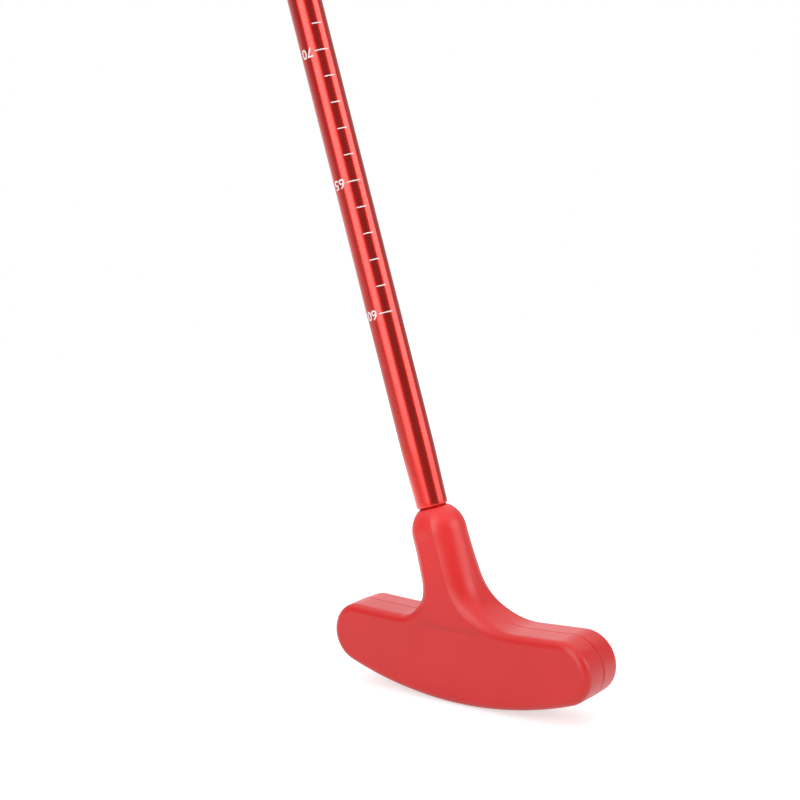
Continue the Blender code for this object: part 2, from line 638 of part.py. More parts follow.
def make_grip(shaft_upper, rubber, plastic, tape_material):
    length = TUBE_END_STATION - GRIP_START_STATION
    start_radius, end_radius = GRIP_RADII
    corner = GRIP_END_ROUNDING
    profile = [(GRIP_BORE, 0.0), (start_radius - corner, 0.0), (start_radius, corner)]
    for share, growth in GRIP_SWELL:
        profile.append((start_radius + growth * (end_radius - start_radius), share * length))
    profile += [(end_radius, length), (GRIP_BORE, length)]
    place = (0.0, 0.0, GRIP_START_STATION)
    make_object("grip_sleeve", turned_mesh(profile), shaft_upper, rubber, place)
    tape = turned_mesh(ring_profile(*TAPE_RADII, TAPE_INSET, length - TAPE_INSET))
    make_object("grip_tape", tape, shaft_upper, tape_material, place)
    cone_profile = [
        (TAPE_RADII[0], 0.0),
        (GRIP_RING_RADII[0], 0.0),
        (GRIP_RING_RADII[1], GRIP_RING_CONE),
        (GRIP_RING_RADII[1], GRIP_RING_LENGTH),
        (TAPE_RADII[0], GRIP_RING_LENGTH),
    ]
    ring_place = (0.0, 0.0, GRIP_START_STATION - GAP - GRIP_RING_LENGTH)
    make_object("grip_ring", turned_mesh(cone_profile), shaft_upper, plastic, ring_place)
    corner_centre = Vector((CAP_RADIUS - CAP_ROUNDING, CAP_THICKNESS - CAP_ROUNDING))
    rounding = arc_points(corner_centre, CAP_ROUNDING, 0.0, math.pi / 2, 4)
    cap_profile = [(0.0, -CAP_STEM_LENGTH), (CAP_STEM_RADIUS, -CAP_STEM_LENGTH), (CAP_STEM_RADIUS, 0.0)]
    cap_profile += [(CAP_RADIUS, 0.0)] + [tuple(point) for point in rounding] + [(0.0, CAP_THICKNESS)]
    cap = turned_mesh(cap_profile, closed=False)
    make_object("butt_cap", cap, shaft_upper, plastic, (0.0, 0.0, CLUB_LENGTH - CAP_THICKNESS))


def main():
    clear_scene()
    red_rubber = make_material("red_rubber", (0.70, 0.055, 0.06), 0.5)
    red_anodised = make_material("red_anodised_aluminium", (0.62, 0.02, 0.02), 0.25, 1.0)
    bare_aluminium = make_material("bare_aluminium", (0.8, 0.8, 0.82), 0.35, 1.0)
    steel = make_material("zinc_plated_steel", (0.6, 0.6, 0.6), 0.35, 1.0)
    black_plastic = make_material("black_nylon", (0.02, 0.02, 0.02), 0.45)
    grey_plastic = make_material("grey_acetal", (0.35, 0.35, 0.35), 0.4)
    grip_rubber = make_material("black_grip_rubber", (0.025, 0.025, 0.025), 0.75)
    tape_paper = make_material("tape_paper", (0.75, 0.72, 0.65), 0.9)

    club = make_empty("hand_hold")
    foot = -HAND_STATION * SHAFT_UP
    lean = (0.0, -LEAN, 0.0)
    shaft_upper = make_empty("shaft_axis_upper", club, foot, lean)
    shaft_lower = make_empty("shaft_axis_lower", club, foot, lean)
    head_centre = foot + TOP_STATION * SHAFT_UP + Vector((SHAFT_TO_HEAD_CENTRE, 0.0, 0.0))
    head_datum = make_empty("head_datum", club, head_centre)
    lever_axis = make_empty("lever_axis", shaft_upper, (-SCREW_OFFSET, -LEVER_PIN_OFFSET, LOCK_STATION))
    screw_axis = make_empty("screw_axis", shaft_upper, (-SCREW_OFFSET, 0.0, LOCK_STATION), TURN_TO_Y)

    make_head(head_datum, shaft_lower, red_rubber, steel)
    make_lower_tube(shaft_lower, red_anodised, grey_plastic, bare_aluminium)
    make_upper_tube(shaft_upper, red_anodised, grey_plastic)
    make_collar(shaft_upper, black_plastic)
    make_screw(screw_axis, shaft_upper, steel, black_plastic)
    make_lever(lever_axis, shaft_upper, black_plastic, steel)
    make_grip(shaft_upper, grip_rubber, black_plastic, tape_paper)


main()
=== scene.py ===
# Two-way putter with a telescopic shaft: the finish of every piece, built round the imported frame.
# Pieces are shaped in millimetres, in the shaft's own frame or the head's, and then set on the club in
# metres.

import json
import math

import bmesh
import bpy
from mathutils import Matrix, Vector


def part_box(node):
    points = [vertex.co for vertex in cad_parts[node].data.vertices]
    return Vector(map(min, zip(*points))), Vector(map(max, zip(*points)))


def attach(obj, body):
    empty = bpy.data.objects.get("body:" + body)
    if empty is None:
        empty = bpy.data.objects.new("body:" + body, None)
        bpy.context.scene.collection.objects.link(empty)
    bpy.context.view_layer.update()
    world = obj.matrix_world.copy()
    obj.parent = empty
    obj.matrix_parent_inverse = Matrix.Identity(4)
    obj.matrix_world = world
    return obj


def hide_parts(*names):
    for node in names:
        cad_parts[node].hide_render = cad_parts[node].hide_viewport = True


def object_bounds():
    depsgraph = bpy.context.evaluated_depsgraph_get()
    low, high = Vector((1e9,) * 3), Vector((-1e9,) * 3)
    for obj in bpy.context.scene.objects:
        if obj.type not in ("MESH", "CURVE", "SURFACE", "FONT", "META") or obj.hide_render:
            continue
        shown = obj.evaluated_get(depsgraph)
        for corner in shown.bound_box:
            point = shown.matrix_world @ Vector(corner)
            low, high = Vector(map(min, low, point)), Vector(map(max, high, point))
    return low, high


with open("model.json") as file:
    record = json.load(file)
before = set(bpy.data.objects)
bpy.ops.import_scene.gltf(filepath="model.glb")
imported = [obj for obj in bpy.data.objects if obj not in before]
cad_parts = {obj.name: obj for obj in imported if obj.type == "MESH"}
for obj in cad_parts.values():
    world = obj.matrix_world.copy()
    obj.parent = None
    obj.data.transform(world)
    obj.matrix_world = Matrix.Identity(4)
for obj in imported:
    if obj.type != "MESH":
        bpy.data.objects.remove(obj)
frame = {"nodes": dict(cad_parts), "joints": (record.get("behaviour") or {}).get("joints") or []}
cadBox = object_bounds()
print("frame loaded:", len(frame["nodes"]), "nodes")

mm = 0.001
perMillimetre = 1000.0  # a texture scale of this repeats once a millimetre

# The shaft's frame: z runs up the shaft from the sole's level, x towards the toe, y to the rear.
slide = next(joint for joint in frame["joints"] if joint["name"] == "length_slide")
shaftUp = Vector(slide["axis"]).normalized()
shaftSide = Vector((shaftUp.z, 0.0, -shaftUp.x))
shaftFoot = shaftUp * (cadBox[0].z / shaftUp.z)
shaftFrame = Matrix((shaftSide, Vector((0.0, 1.0, 0.0)), shaftUp)).transposed().to_4x4()
shaftFrame = Matrix.Translation(shaftFoot) @ shaftFrame @ Matrix.Scale(mm, 4)
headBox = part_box("rubber_head")


def stationsOf(node):
    # Lowest and highest station of a CAD node along the shaft, and its reach from the axis, in mm.
    toShaft = shaftFrame.inverted()
    places = [toShaft @ vertex.co for vertex in frame["nodes"][node].data.vertices]
    heights = [place.z for place in places]
    return min(heights), max(heights), max(math.hypot(place.x, place.y) for place in places)


# Modelling helpers

def startClean():
    if bpy.context.object and bpy.context.object.mode != "OBJECT":
        bpy.ops.object.mode_set(mode="OBJECT")
    bpy.ops.object.select_all(action="DESELECT")


def newest(name):
    piece = bpy.context.object
    piece.name = name
    piece.data.name = name
    return piece


def pick(piece, wanted):
    # Selects, in edit mode, the vertices whose place passes the test, with the edges and faces among them.
    bpy.ops.mesh.select_all(action="DESELECT")
    shape = bmesh.from_edit_mesh(piece.data)
    for vertex in shape.verts:
        if wanted(vertex.co):
            vertex.select_set(True)
    shape.select_flush(True)
    bmesh.update_edit_mesh(piece.data)


def pickFaces(piece, wanted):
    bpy.ops.mesh.select_all(action="DESELECT")
    shape = bmesh.from_edit_mesh(piece.data)
    for face in shape.faces:
        if wanted(face):
            face.select_set(True)
    bmesh.update_edit_mesh(piece.data)


def pickRim():
    bpy.ops.mesh.select_all(action="DESELECT")
    bpy.ops.mesh.select_non_manifold(use_wire=False, use_multi_face=False, use_non_contiguous=False,
                                     use_verts=False)


def moveVertices(piece, newPlace):
    # A sculpting move in edit mode: newPlace gives a vertex its new place, or None to leave it.
    shape = bmesh.from_edit_mesh(piece.data)
    for vertex in shape.verts:
        place = newPlace(vertex.co)
        if place is not None:
            vertex.co = place
    bmesh.update_edit_mesh(piece.data)


def fixNormals():
    bpy.ops.mesh.select_all(action="SELECT")
    bpy.ops.mesh.normals_make_consistent(inside=False)


def applyModifier(piece, kind, **settings):
    bpy.context.view_layer.objects.active = piece
    modifier = piece.modifiers.new(kind.lower(), kind)
    for key, value in settings.items():
        setattr(modifier, key, value)
    bpy.ops.object.modifier_apply(modifier=modifier.name)


def roundEdges(piece, width, steps=3, angle=35.0):
    applyModifier(piece, "BEVEL", width=width, segments=steps, limit_method="ANGLE",
                  angle_limit=math.radians(angle), use_clamp_overlap=True)


def drill(piece, cutter, operation="DIFFERENCE"):
    # Cuts the piece with another shape, or joins the two, and takes that shape away.
    applyModifier(piece, "BOOLEAN", object=cutter, operation=operation, solver="EXACT")
    bpy.data.objects.remove(cutter, do_unlink=True)


def rodAlong(axis, radius, centre, half, sides=32):
    # A rod for drilling, along x, y or z of the frame that the piece is shaped in.
    turns = {"x": (0.0, math.pi / 2, 0.0), "y": (math.pi / 2, 0.0, 0.0), "z": (0.0, 0.0, 0.0)}
    startClean()
    bpy.ops.mesh.primitive_cylinder_add(vertices=sides, radius=radius, depth=2 * half,
                                        location=centre, rotation=turns[axis])
    return bpy.context.object


def blockBetween(low, high):
    startClean()
    size = [b - a for a, b in zip(low, high)]
    bpy.ops.mesh.primitive_cube_add(size=1.0, location=[(a + b) / 2 for a, b in zip(low, high)])
    block = bpy.context.object
    block.scale = size
    bpy.ops.object.transform_apply(location=True, rotation=True, scale=True)
    return block


def bevelLines(piece, wanted, width, steps=6):
    # Rounds off the edges whose two ends pass the test.
    bpy.ops.object.mode_set(mode="EDIT")
    bpy.ops.mesh.select_mode(type="EDGE")
    shape = bmesh.from_edit_mesh(piece.data)
    for line in shape.edges:
        line.select_set(wanted(*[vertex.co for vertex in line.verts]))
    bmesh.update_edit_mesh(piece.data)
    bpy.ops.mesh.bevel(offset=width, segments=steps, affect="EDGES")
    bpy.ops.mesh.select_mode(type="VERT")
    bpy.ops.object.mode_set(mode="OBJECT")


def ringProfile(inner, outer, start, end, edge):
    # The rings of a plain ring with its corners broken.
    return [(inner, start + edge), (inner + edge, start), (outer - edge, start), (outer, start + edge),
            (outer, end - edge), (outer - edge, end), (inner + edge, end), (inner, end - edge)]


def roundedRim(radius, end, rounding, steps, side=1):
    # The rings of the quarter round from a piece's side to its end face. At the lower end, side is -1.
    turns = [math.pi / 2 * step / steps for step in range(steps + 1)]
    return [(radius - rounding * (1.0 - math.cos(turn)), end - side * rounding * (1.0 - math.sin(turn)))
            for turn in turns]


def turnPiece(name, rings, sides=96, closed=True):
    # Extrudes a circle ring by ring, as on a lathe. A closed piece comes back to its first ring and has a
    # bore, and an open one gets a flat cap at both ends. Rings are (radius, height) in mm.
    startClean()
    bpy.ops.mesh.primitive_circle_add(vertices=sides, radius=rings[0][0], location=(0.0, 0.0, 0.0))
    piece = newest(name)
    bpy.ops.object.mode_set(mode="EDIT")
    bpy.ops.mesh.select_all(action="SELECT")
    bpy.ops.transform.translate(value=(0.0, 0.0, rings[0][1]))
    loop = rings + rings[:1] if closed else rings
    for (radius, height), (nextRadius, nextHeight) in zip(loop, loop[1:]):
        bpy.ops.mesh.extrude_edges_move(TRANSFORM_OT_translate={"value": (0.0, 0.0, nextHeight - height)})
        grow = nextRadius / radius
        bpy.ops.transform.resize(value=(grow, grow, 1.0), center_override=(0.0, 0.0, 0.0))
    if not closed:
        bpy.ops.mesh.edge_face_add()
        pickRim()
        bpy.ops.mesh.edge_face_add()
    bpy.ops.mesh.select_all(action="SELECT")
    bpy.ops.mesh.remove_doubles(threshold=1e-4)
    fixNormals()
    bpy.ops.object.mode_set(mode="OBJECT")
    return piece


def settle(piece, place, body, material, nodes=(), weighted=True, angle=35.0):
    # Bakes the piece's place into its mesh, shades it, and hands it to its body.
    startClean()
    bpy.context.view_layer.update()
    piece.data.transform(place @ piece.matrix_world)
    piece.matrix_world = Matrix.Identity(4)
    piece.select_set(True)
    bpy.context.view_layer.objects.active = piece
    bpy.ops.object.shade_smooth_by_angle(angle=math.radians(angle))
    if weighted:
        applyModifier(piece, "WEIGHTED_NORMAL", keep_sharp=True, weight=80)
    piece.data.materials.clear()
    piece.data.materials.append(material)
    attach(piece, body)
    if nodes:
        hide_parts(*nodes)
    print("made", piece.name, len(piece.data.polygons), "faces")
    return piece


# Materials

def linear(hexColour):
    parts = [int(hexColour[place:place + 2], 16) / 255 for place in (1, 3, 5)]
    return [part / 12.92 if part <= 0.04045 else ((part + 0.055) / 1.055) ** 2.4 for part in parts] + [1.0]


def addNode(tree, kind, inputs=None, output=None, **settings):
    # Adds a node and gives it back, or the one output that is asked for. An input's value is a number, a
    # colour or another node's output.
    made = tree.nodes.new(kind)
    for key, value in settings.items():
        setattr(made, key, value)
    for socket, value in (inputs or {}).items():
        if isinstance(value, bpy.types.NodeSocket):
            tree.links.new(value, made.inputs[socket])
        else:
            made.inputs[socket].default_value = value
    return made if output is None else made.outputs[output]


def newMaterial(name):
    material = bpy.data.materials.new(name)
    material.use_nodes = True
    tree = material.node_tree
    tree.nodes.clear()
    return material, tree, addNode(tree, "ShaderNodeTexCoord", output="Object")


def finishMaterial(material, tree, colour, roughness, bumps, constants):
    # bumps are (height output, strength, depth in mm), from the broadest to the finest.
    inputs = {"Base Color": colour, "Roughness": roughness, **constants}
    for height, strength, depth in bumps:
        relief = {"Height": height, "Strength": strength, "Distance": depth * mm}
        if "Normal" in inputs:
            relief["Normal"] = inputs["Normal"]
        inputs["Normal"] = addNode(tree, "ShaderNodeBump", relief, "Normal")
    shader = addNode(tree, "ShaderNodeBsdfPrincipled", inputs, "BSDF")
    addNode(tree, "ShaderNodeOutputMaterial", {"Surface": shader})
    return material


# The part of a noise's values that is spread from one tone to the other, and from smoothest to roughest.
toneSpread = (0.35, 0.65)
roughSpread = (0.3, 0.7)


# Every finish: its noises as (size in mm, detail, roughness), then which of them sets the place between the
# two tones, which the roughness between its bounds, and which the relief with its strength and depth in mm.
finishes = {
    # Injection-moulded thermoplastic rubber: an even red with a satin skin, faintly mottled where it flowed.
    "mouldedRubber": {
        "noises": {"mottle": (14.0, 3.0, 0.5), "skin": (0.35, 2.0, 0.5)},
        "tones": ("mottle", "#CD2120", "#C91F1E"),
        "roughness": ("mottle", 0.33, 0.38), "relief": ("skin", 0.25, 0.02), "shader": {"IOR": 1.5},
    },
    # Drawn aluminium tube, blasted and dyed red: a clear metallic red with a fine sparkling grain, faintly
    # streaked along its length, under the clear skin that the sealed dye leaves.
    "anodisedTube": {
        "noises": {"grain": (0.55, 2.0, 0.6)}, "tones": ("grain", "#F4200C", "#CE1A09"),
        "roughness": ("grain", 0.22, 0.34), "relief": ("grain", 0.4, 0.012),
        "streak": (1.2, 1.2, 60.0), "streakRelief": (0.1, 0.01),
        "shader": {"Metallic": 1.0, "Coat Weight": 1.0, "Coat IOR": 1.6, "Coat Roughness": 0.11},
    },
    # Pad-printed white ink on the tube: opaque, a little uneven in its body.
    "printedInk": {
        "noises": {"body": (0.8, 2.0, 0.5)}, "tones": ("body", "#F6F3F1", "#E9DEDC"),
        "toneSpread": (0.35, 0.7), "roughness": ("body", 0.45, 0.6), "relief": ("body", 0.2, 0.02),
    },
    # Glass-filled black nylon from a spark-eroded mould: a dry dark grey with a fine even texture.
    "filledNylon": {
        "noises": {"texture": (0.6, 3.0, 0.6), "cloud": (9.0, 2.0, 0.5)},
        "tones": ("cloud", "#232326", "#2B2B2E"),
        "roughness": ("texture", 0.46, 0.62), "relief": ("texture", 0.45, 0.05),
    },
    # Steel with bright zinc plating and a clear passivation: grey-white with a faint blue and straw tint.
    "zincPlate": {
        "noises": {"tint": (5.0, 2.0, 0.5), "wear": (0.7, 3.0, 0.6)},
        "tones": ("tint", "#C3C8D0", "#CFCABB"),
        "roughness": ("wear", 0.24, 0.4), "relief": ("wear", 0.2, 0.02), "shader": {"Metallic": 1.0},
    },
    # Bare drawn aluminium: pale grey metal with fine wear.
    "drawnAluminium": {
        "noises": {"wear": (0.5, 3.0, 0.6)}, "tones": ("wear", "#D5D7DA", "#C4C7CB"),
        "roughness": ("wear", 0.28, 0.42), "relief": ("wear", 0.2, 0.02), "shader": {"Metallic": 1.0},
    },
    # Turned acetal: a waxy mid grey, faintly clouded.
    "turnedAcetal": {
        "noises": {"cloud": (4.0, 2.0, 0.5), "skin": (0.4, 2.0, 0.5)},
        "tones": ("cloud", "#77787B", "#838487"),
        "roughness": ("skin", 0.3, 0.42), "relief": ("skin", 0.2, 0.02),
    },
    # Vulcanised grip rubber: matt black, greyed where hands have polished it.
    "gripRubber": {
        "noises": {"cloud": (16.0, 3.0, 0.5), "skin": (0.7, 3.0, 0.6)},
        "tones": ("cloud", "#1C1C1E", "#262628"),
        "roughness": ("cloud", 0.66, 0.82), "relief": ("skin", 0.5, 0.06),
    },
    # Masking-tape paper: matt, fibrous and uneven.
    "paperTape": {
        "noises": {"fibre": (0.8, 4.0, 0.6)}, "tones": ("fibre", "#D6C9AE", "#C6B898"),
        "roughness": ("fibre", 0.8, 0.95), "relief": ("fibre", 0.6, 0.08),
    },
}


def makeFinish(name, marks=None):
    # marks is a function that lays more colour over the two tones.
    look = finishes[name]
    material, tree, places = newMaterial(name)
    noises = {}
    for pattern, (size, detail, rough) in look["noises"].items():
        noises[pattern] = addNode(tree, "ShaderNodeTexNoise", {
            "Vector": places, "Scale": perMillimetre / size, "Detail": detail, "Roughness": rough}, "Fac")
    pattern, first, second = look["tones"]
    low, high = look.get("toneSpread", toneSpread)
    share = addNode(tree, "ShaderNodeMapRange", {
        "Value": noises[pattern], "From Min": low, "From Max": high}, "Result")
    colour = addNode(tree, "ShaderNodeMix", {
        0: share, 6: linear(first), 7: linear(second)}, 2, data_type="RGBA")
    if marks:
        colour = marks(tree, places, colour)
    pattern, smoothest, roughest = look["roughness"]
    roughness = addNode(tree, "ShaderNodeMapRange", {
        "Value": noises[pattern], "From Min": roughSpread[0], "From Max": roughSpread[1],
        "To Min": smoothest, "To Max": roughest}, "Result")
    bumps = []
    if "streak" in look:
        # Drawn out along the shaft, by turning the pattern upright first.
        lean = math.atan2(-shaftUp.x, shaftUp.z)
        turned = addNode(tree, "ShaderNodeMapping", {
            "Vector": places, "Rotation": (0.0, lean, 0.0)}, "Vector")
        scales = [perMillimetre / size for size in look["streak"]]
        drawn = addNode(tree, "ShaderNodeMapping", {"Vector": turned, "Scale": scales}, "Vector")
        streak = addNode(tree, "ShaderNodeTexNoise", {"Vector": drawn, "Scale": 1.0, "Detail": 2.0}, "Fac")
        bumps.append((streak, *look["streakRelief"]))
    pattern, strength, depth = look["relief"]
    bumps.append((noises[pattern], strength, depth))
    return finishMaterial(material, tree, colour, roughness, bumps, look.get("shader", {}))


anodised = makeFinish("anodisedTube")
ink = makeFinish("printedInk")
nylon = makeFinish("filledNylon")
zinc = makeFinish("zincPlate")
aluminium = makeFinish("drawnAluminium")
acetal = makeFinish("turnedAcetal")
gripSkin = makeFinish("gripRubber")
tapePaper = makeFinish("paperTape")
print("materials made")


# Rubber head. The outline lies in the middle plane, measured from the middle of the head's top; a section at
# each of its points runs over the flank and the rounded edge to a face.

head = {
    "height": 31.9, "shaftAhead": 3.66, "endRadius": 12.0, "topDip": 1.2, "edge": 3.1, "draft": 0.9,
    "heelFillet": 8.0, "toeFillet": 22.7, "crease": -1.0,
    "neckRadius": 10.3, "neckShift": 0.36, "neckTaper": 2.0, "cut": 62.0, "neckDepth": 9.35,
    "heelRound": (0.15, 0.6), "toeRound": (0.0, 0.84), "swell": 1.0, "swellLength": 16.0, "tight": 1.3,
    "filletEdge": 4.0, "filletFrom": 2.4, "filletRise": 6.0, "domeEasing": 0.12, "frontCuts": 9,
    "domeStart": 64.5, "domeHeight": 11.35, "domeTop": 5.8, "bore": 4.4, "boreDepth": 14.0,
    # the parting groove: where it begins and ends beside the middle plane, its depth, how much of that stays
    # on the neck and low down on the ends, and the heights over which it fades
    "groove": (0.1, 0.26), "grooveDepth": 0.4, "grooveNeck": 0.35, "grooveLeast": 0.1,
    "grooveUp": (2.0, 24.0), "grooveTops": (-2.5, 0.0), "grooveEnds": (-21.0, -12.0),
    "lip": 0.1, "lipTop": 0.27,
    "flankSteps": 5, "edgeSteps": 14, "domeSteps": 18,
}
headCentre = Vector(((headBox[0].x + headBox[1].x) / 2, 0.0, headBox[0].z + head["height"] * mm))
headFrame = Matrix.Translation(headCentre) @ Matrix.Scale(mm, 4)
halfLength = (headBox[1].x - headBox[0].x) / 2 / mm
halfThickness = (headBox[1].y - headBox[0].y) / 2 / mm
endX = halfLength - head["endRadius"]
topStation = head["height"] / shaftUp.z
upInPlane = Vector((shaftUp.x, shaftUp.z))
sideInPlane = Vector((shaftSide.x, shaftSide.z))


def planePoint(station, side):
    place = (station - topStation) * upInPlane + side * sideInPlane
    return Vector((place.x - head["shaftAhead"], place.y))


def arc(centre, radius, first, last, steps):
    turns = [first + (last - first) * step / steps for step in range(steps + 1)]
    return [centre + radius * Vector((math.cos(turn), math.sin(turn))) for turn in turns]


def angleOf(vector):
    return math.atan2(vector.y, vector.x)


# The head's top and sole are large circles that touch both end circles.
drop = head["height"] - head["endRadius"]
topRadius = (endX ** 2 + head["topDip"] ** 2) / (2 * head["topDip"]) - head["endRadius"]
topMiddle = Vector((0.0, topRadius - head["topDip"]))
soleRadius = (endX ** 2 + drop ** 2 - head["endRadius"] ** 2) / (2 * (drop - head["endRadius"]))
soleMiddle = Vector((0.0, soleRadius - head["height"]))


def easing(share):
    share = min(max(share, 0.0), 1.0)
    return share * share * (3.0 - 2.0 * share)


def easeOver(value, span):
    return easing((value - span[0]) / (span[1] - span[0]))


def neckSide(side, fillet, steps, span):
    # One side of the neck from the cut down, and the fillet on to the head's top, with how round the neck is.
    taper = math.radians(head["neckTaper"])
    start = planePoint(head["cut"], head["neckShift"] + side * head["neckRadius"])
    across = sideInPlane * side
    down = across * math.sin(taper) - upInPlane * math.cos(taper)
    outward = across * math.cos(taper) + upInPlane * math.sin(taper)
    base = start + outward * fillet - topMiddle
    half = base.dot(down)
    travel = -half + math.sqrt(half ** 2 - base.length_squared + (topRadius - fillet) ** 2)
    middle = base + down * travel + topMiddle
    first = angleOf(-outward)
    turn = (angleOf(middle - topMiddle) - first + math.pi) % math.tau - math.pi
    bend = arc(middle, fillet, first, first + turn, steps)
    points = [start.lerp(bend[0], step / 12) for step in range(12)] + bend
    lengths = [(b - a).length for a, b in zip(points, points[1:])]
    climbs = [1.0 - sum(lengths[:index]) / sum(lengths) for index in range(len(points))]
    return [(point, easeOver(climb, span)) for point, climb in zip(points, climbs)]


def headOutline():
    heel = neckSide(-1, head["heelFillet"], 20, head["heelRound"])
    toe = neckSide(1, head["toeFillet"], 36, head["toeRound"])
    heelEnd = Vector((-endX, -head["endRadius"]))
    toeEnd = Vector((endX, -head["endRadius"]))
    touchTop = angleOf(topMiddle - heelEnd)
    touchSole = angleOf(heelEnd - soleMiddle)
    heelTop = arc(topMiddle, topRadius, angleOf(heel[-1][0] - topMiddle), angleOf(heelEnd - topMiddle), 10)
    toeTop = arc(topMiddle, topRadius, angleOf(toeEnd - topMiddle), angleOf(toe[-1][0] - topMiddle), 10)
    plain = heelTop[1:-1]
    plain += arc(heelEnd, head["endRadius"], touchTop, math.tau + touchSole, 40)
    plain += arc(soleMiddle, soleRadius, touchSole, -math.pi - touchSole, 60)[1:-1]
    plain += arc(toeEnd, head["endRadius"], -math.pi - touchSole, math.pi - touchTop, 40)
    plain += toeTop[1:-1]
    return heel + [(point, 0.0) for point in plain] + toe[::-1]


def grooveShare(height):
    # The parting groove is full on the tops, faint up the neck and nearly gone low down on the ends.
    if height > 0.0:
        return head["grooveNeck"] * (1.0 - easeOver(height, head["grooveUp"]))
    tops = 1.0 - (1.0 - head["grooveNeck"]) * easeOver(height, head["grooveTops"])
    return max(easeOver(height, head["grooveEnds"]) * tops, head["grooveLeast"])


def headSection(point, inward, blend):
    # Rows of (place in the plane, depth) from the middle plane to the face. The neck's side is a wide arc
    # that meets its flat front in a tight one. Round the head a flat flank ends in one round edge.
    station = (point + Vector((head["shaftAhead"], 0.0))).dot(upInPlane) + topStation
    wide = head["neckRadius"] + head["swell"] * easing((head["cut"] - station) / head["swellLength"])
    grown = easing((point.y - head["filletFrom"]) / head["filletRise"])
    edge = head["edge"] + (head["filletEdge"] - head["edge"]) * grown
    draft = math.tan(math.radians(head["draft"]))
    apex = planePoint(head["cut"], head["neckShift"])
    first = edge + (wide - edge) * blend
    second = edge + (head["tight"] - edge) * blend
    reach = edge
    for attempt in range(4):  # settles where the section meets the face
        faceHeight = (point + inward * reach).y
        rise = min(max((faceHeight - head["crease"]) / (apex.y - head["crease"]), 0.0), 1.0)
        half = halfThickness + (head["neckDepth"] - halfThickness) * rise
        flank = (1.0 - blend) * (half - edge)
        turn = math.asin(min((half - head["tight"]) / (wide - head["tight"]), 1.0))
        reach = draft * flank + first * (1.0 - math.cos(turn)) + second * math.cos(turn)
    quarter = first * math.pi / 2
    weight = min(flank / 2.0, 1.0)
    steps = head["flankSteps"] + head["edgeSteps"]
    start = head["groove"][1]
    travels = [0.0, head["groove"][0], start]
    for step in range(1, steps + 1):
        even = start + (flank + quarter - start) * step / steps
        if step <= head["flankSteps"]:
            cornered = start + (flank - start) * step / head["flankSteps"]
        else:
            cornered = flank + quarter * (step - head["flankSteps"]) / head["edgeSteps"]
        travels.append((1.0 - weight) * even + weight * cornered)
    rows = []
    for travel in travels:
        angle = max(travel - flank, 0.0) / first
        near, far = min(angle, turn), max(angle, turn)
        inset = draft * min(travel, flank) + first * (1.0 - math.cos(near))
        inset += second * (math.cos(turn) - math.cos(far))
        depth = min(travel, flank) + first * math.sin(near) + second * (math.sin(far) - math.sin(turn))
        rows.append((point + inward * inset, depth))
    return rows, rise


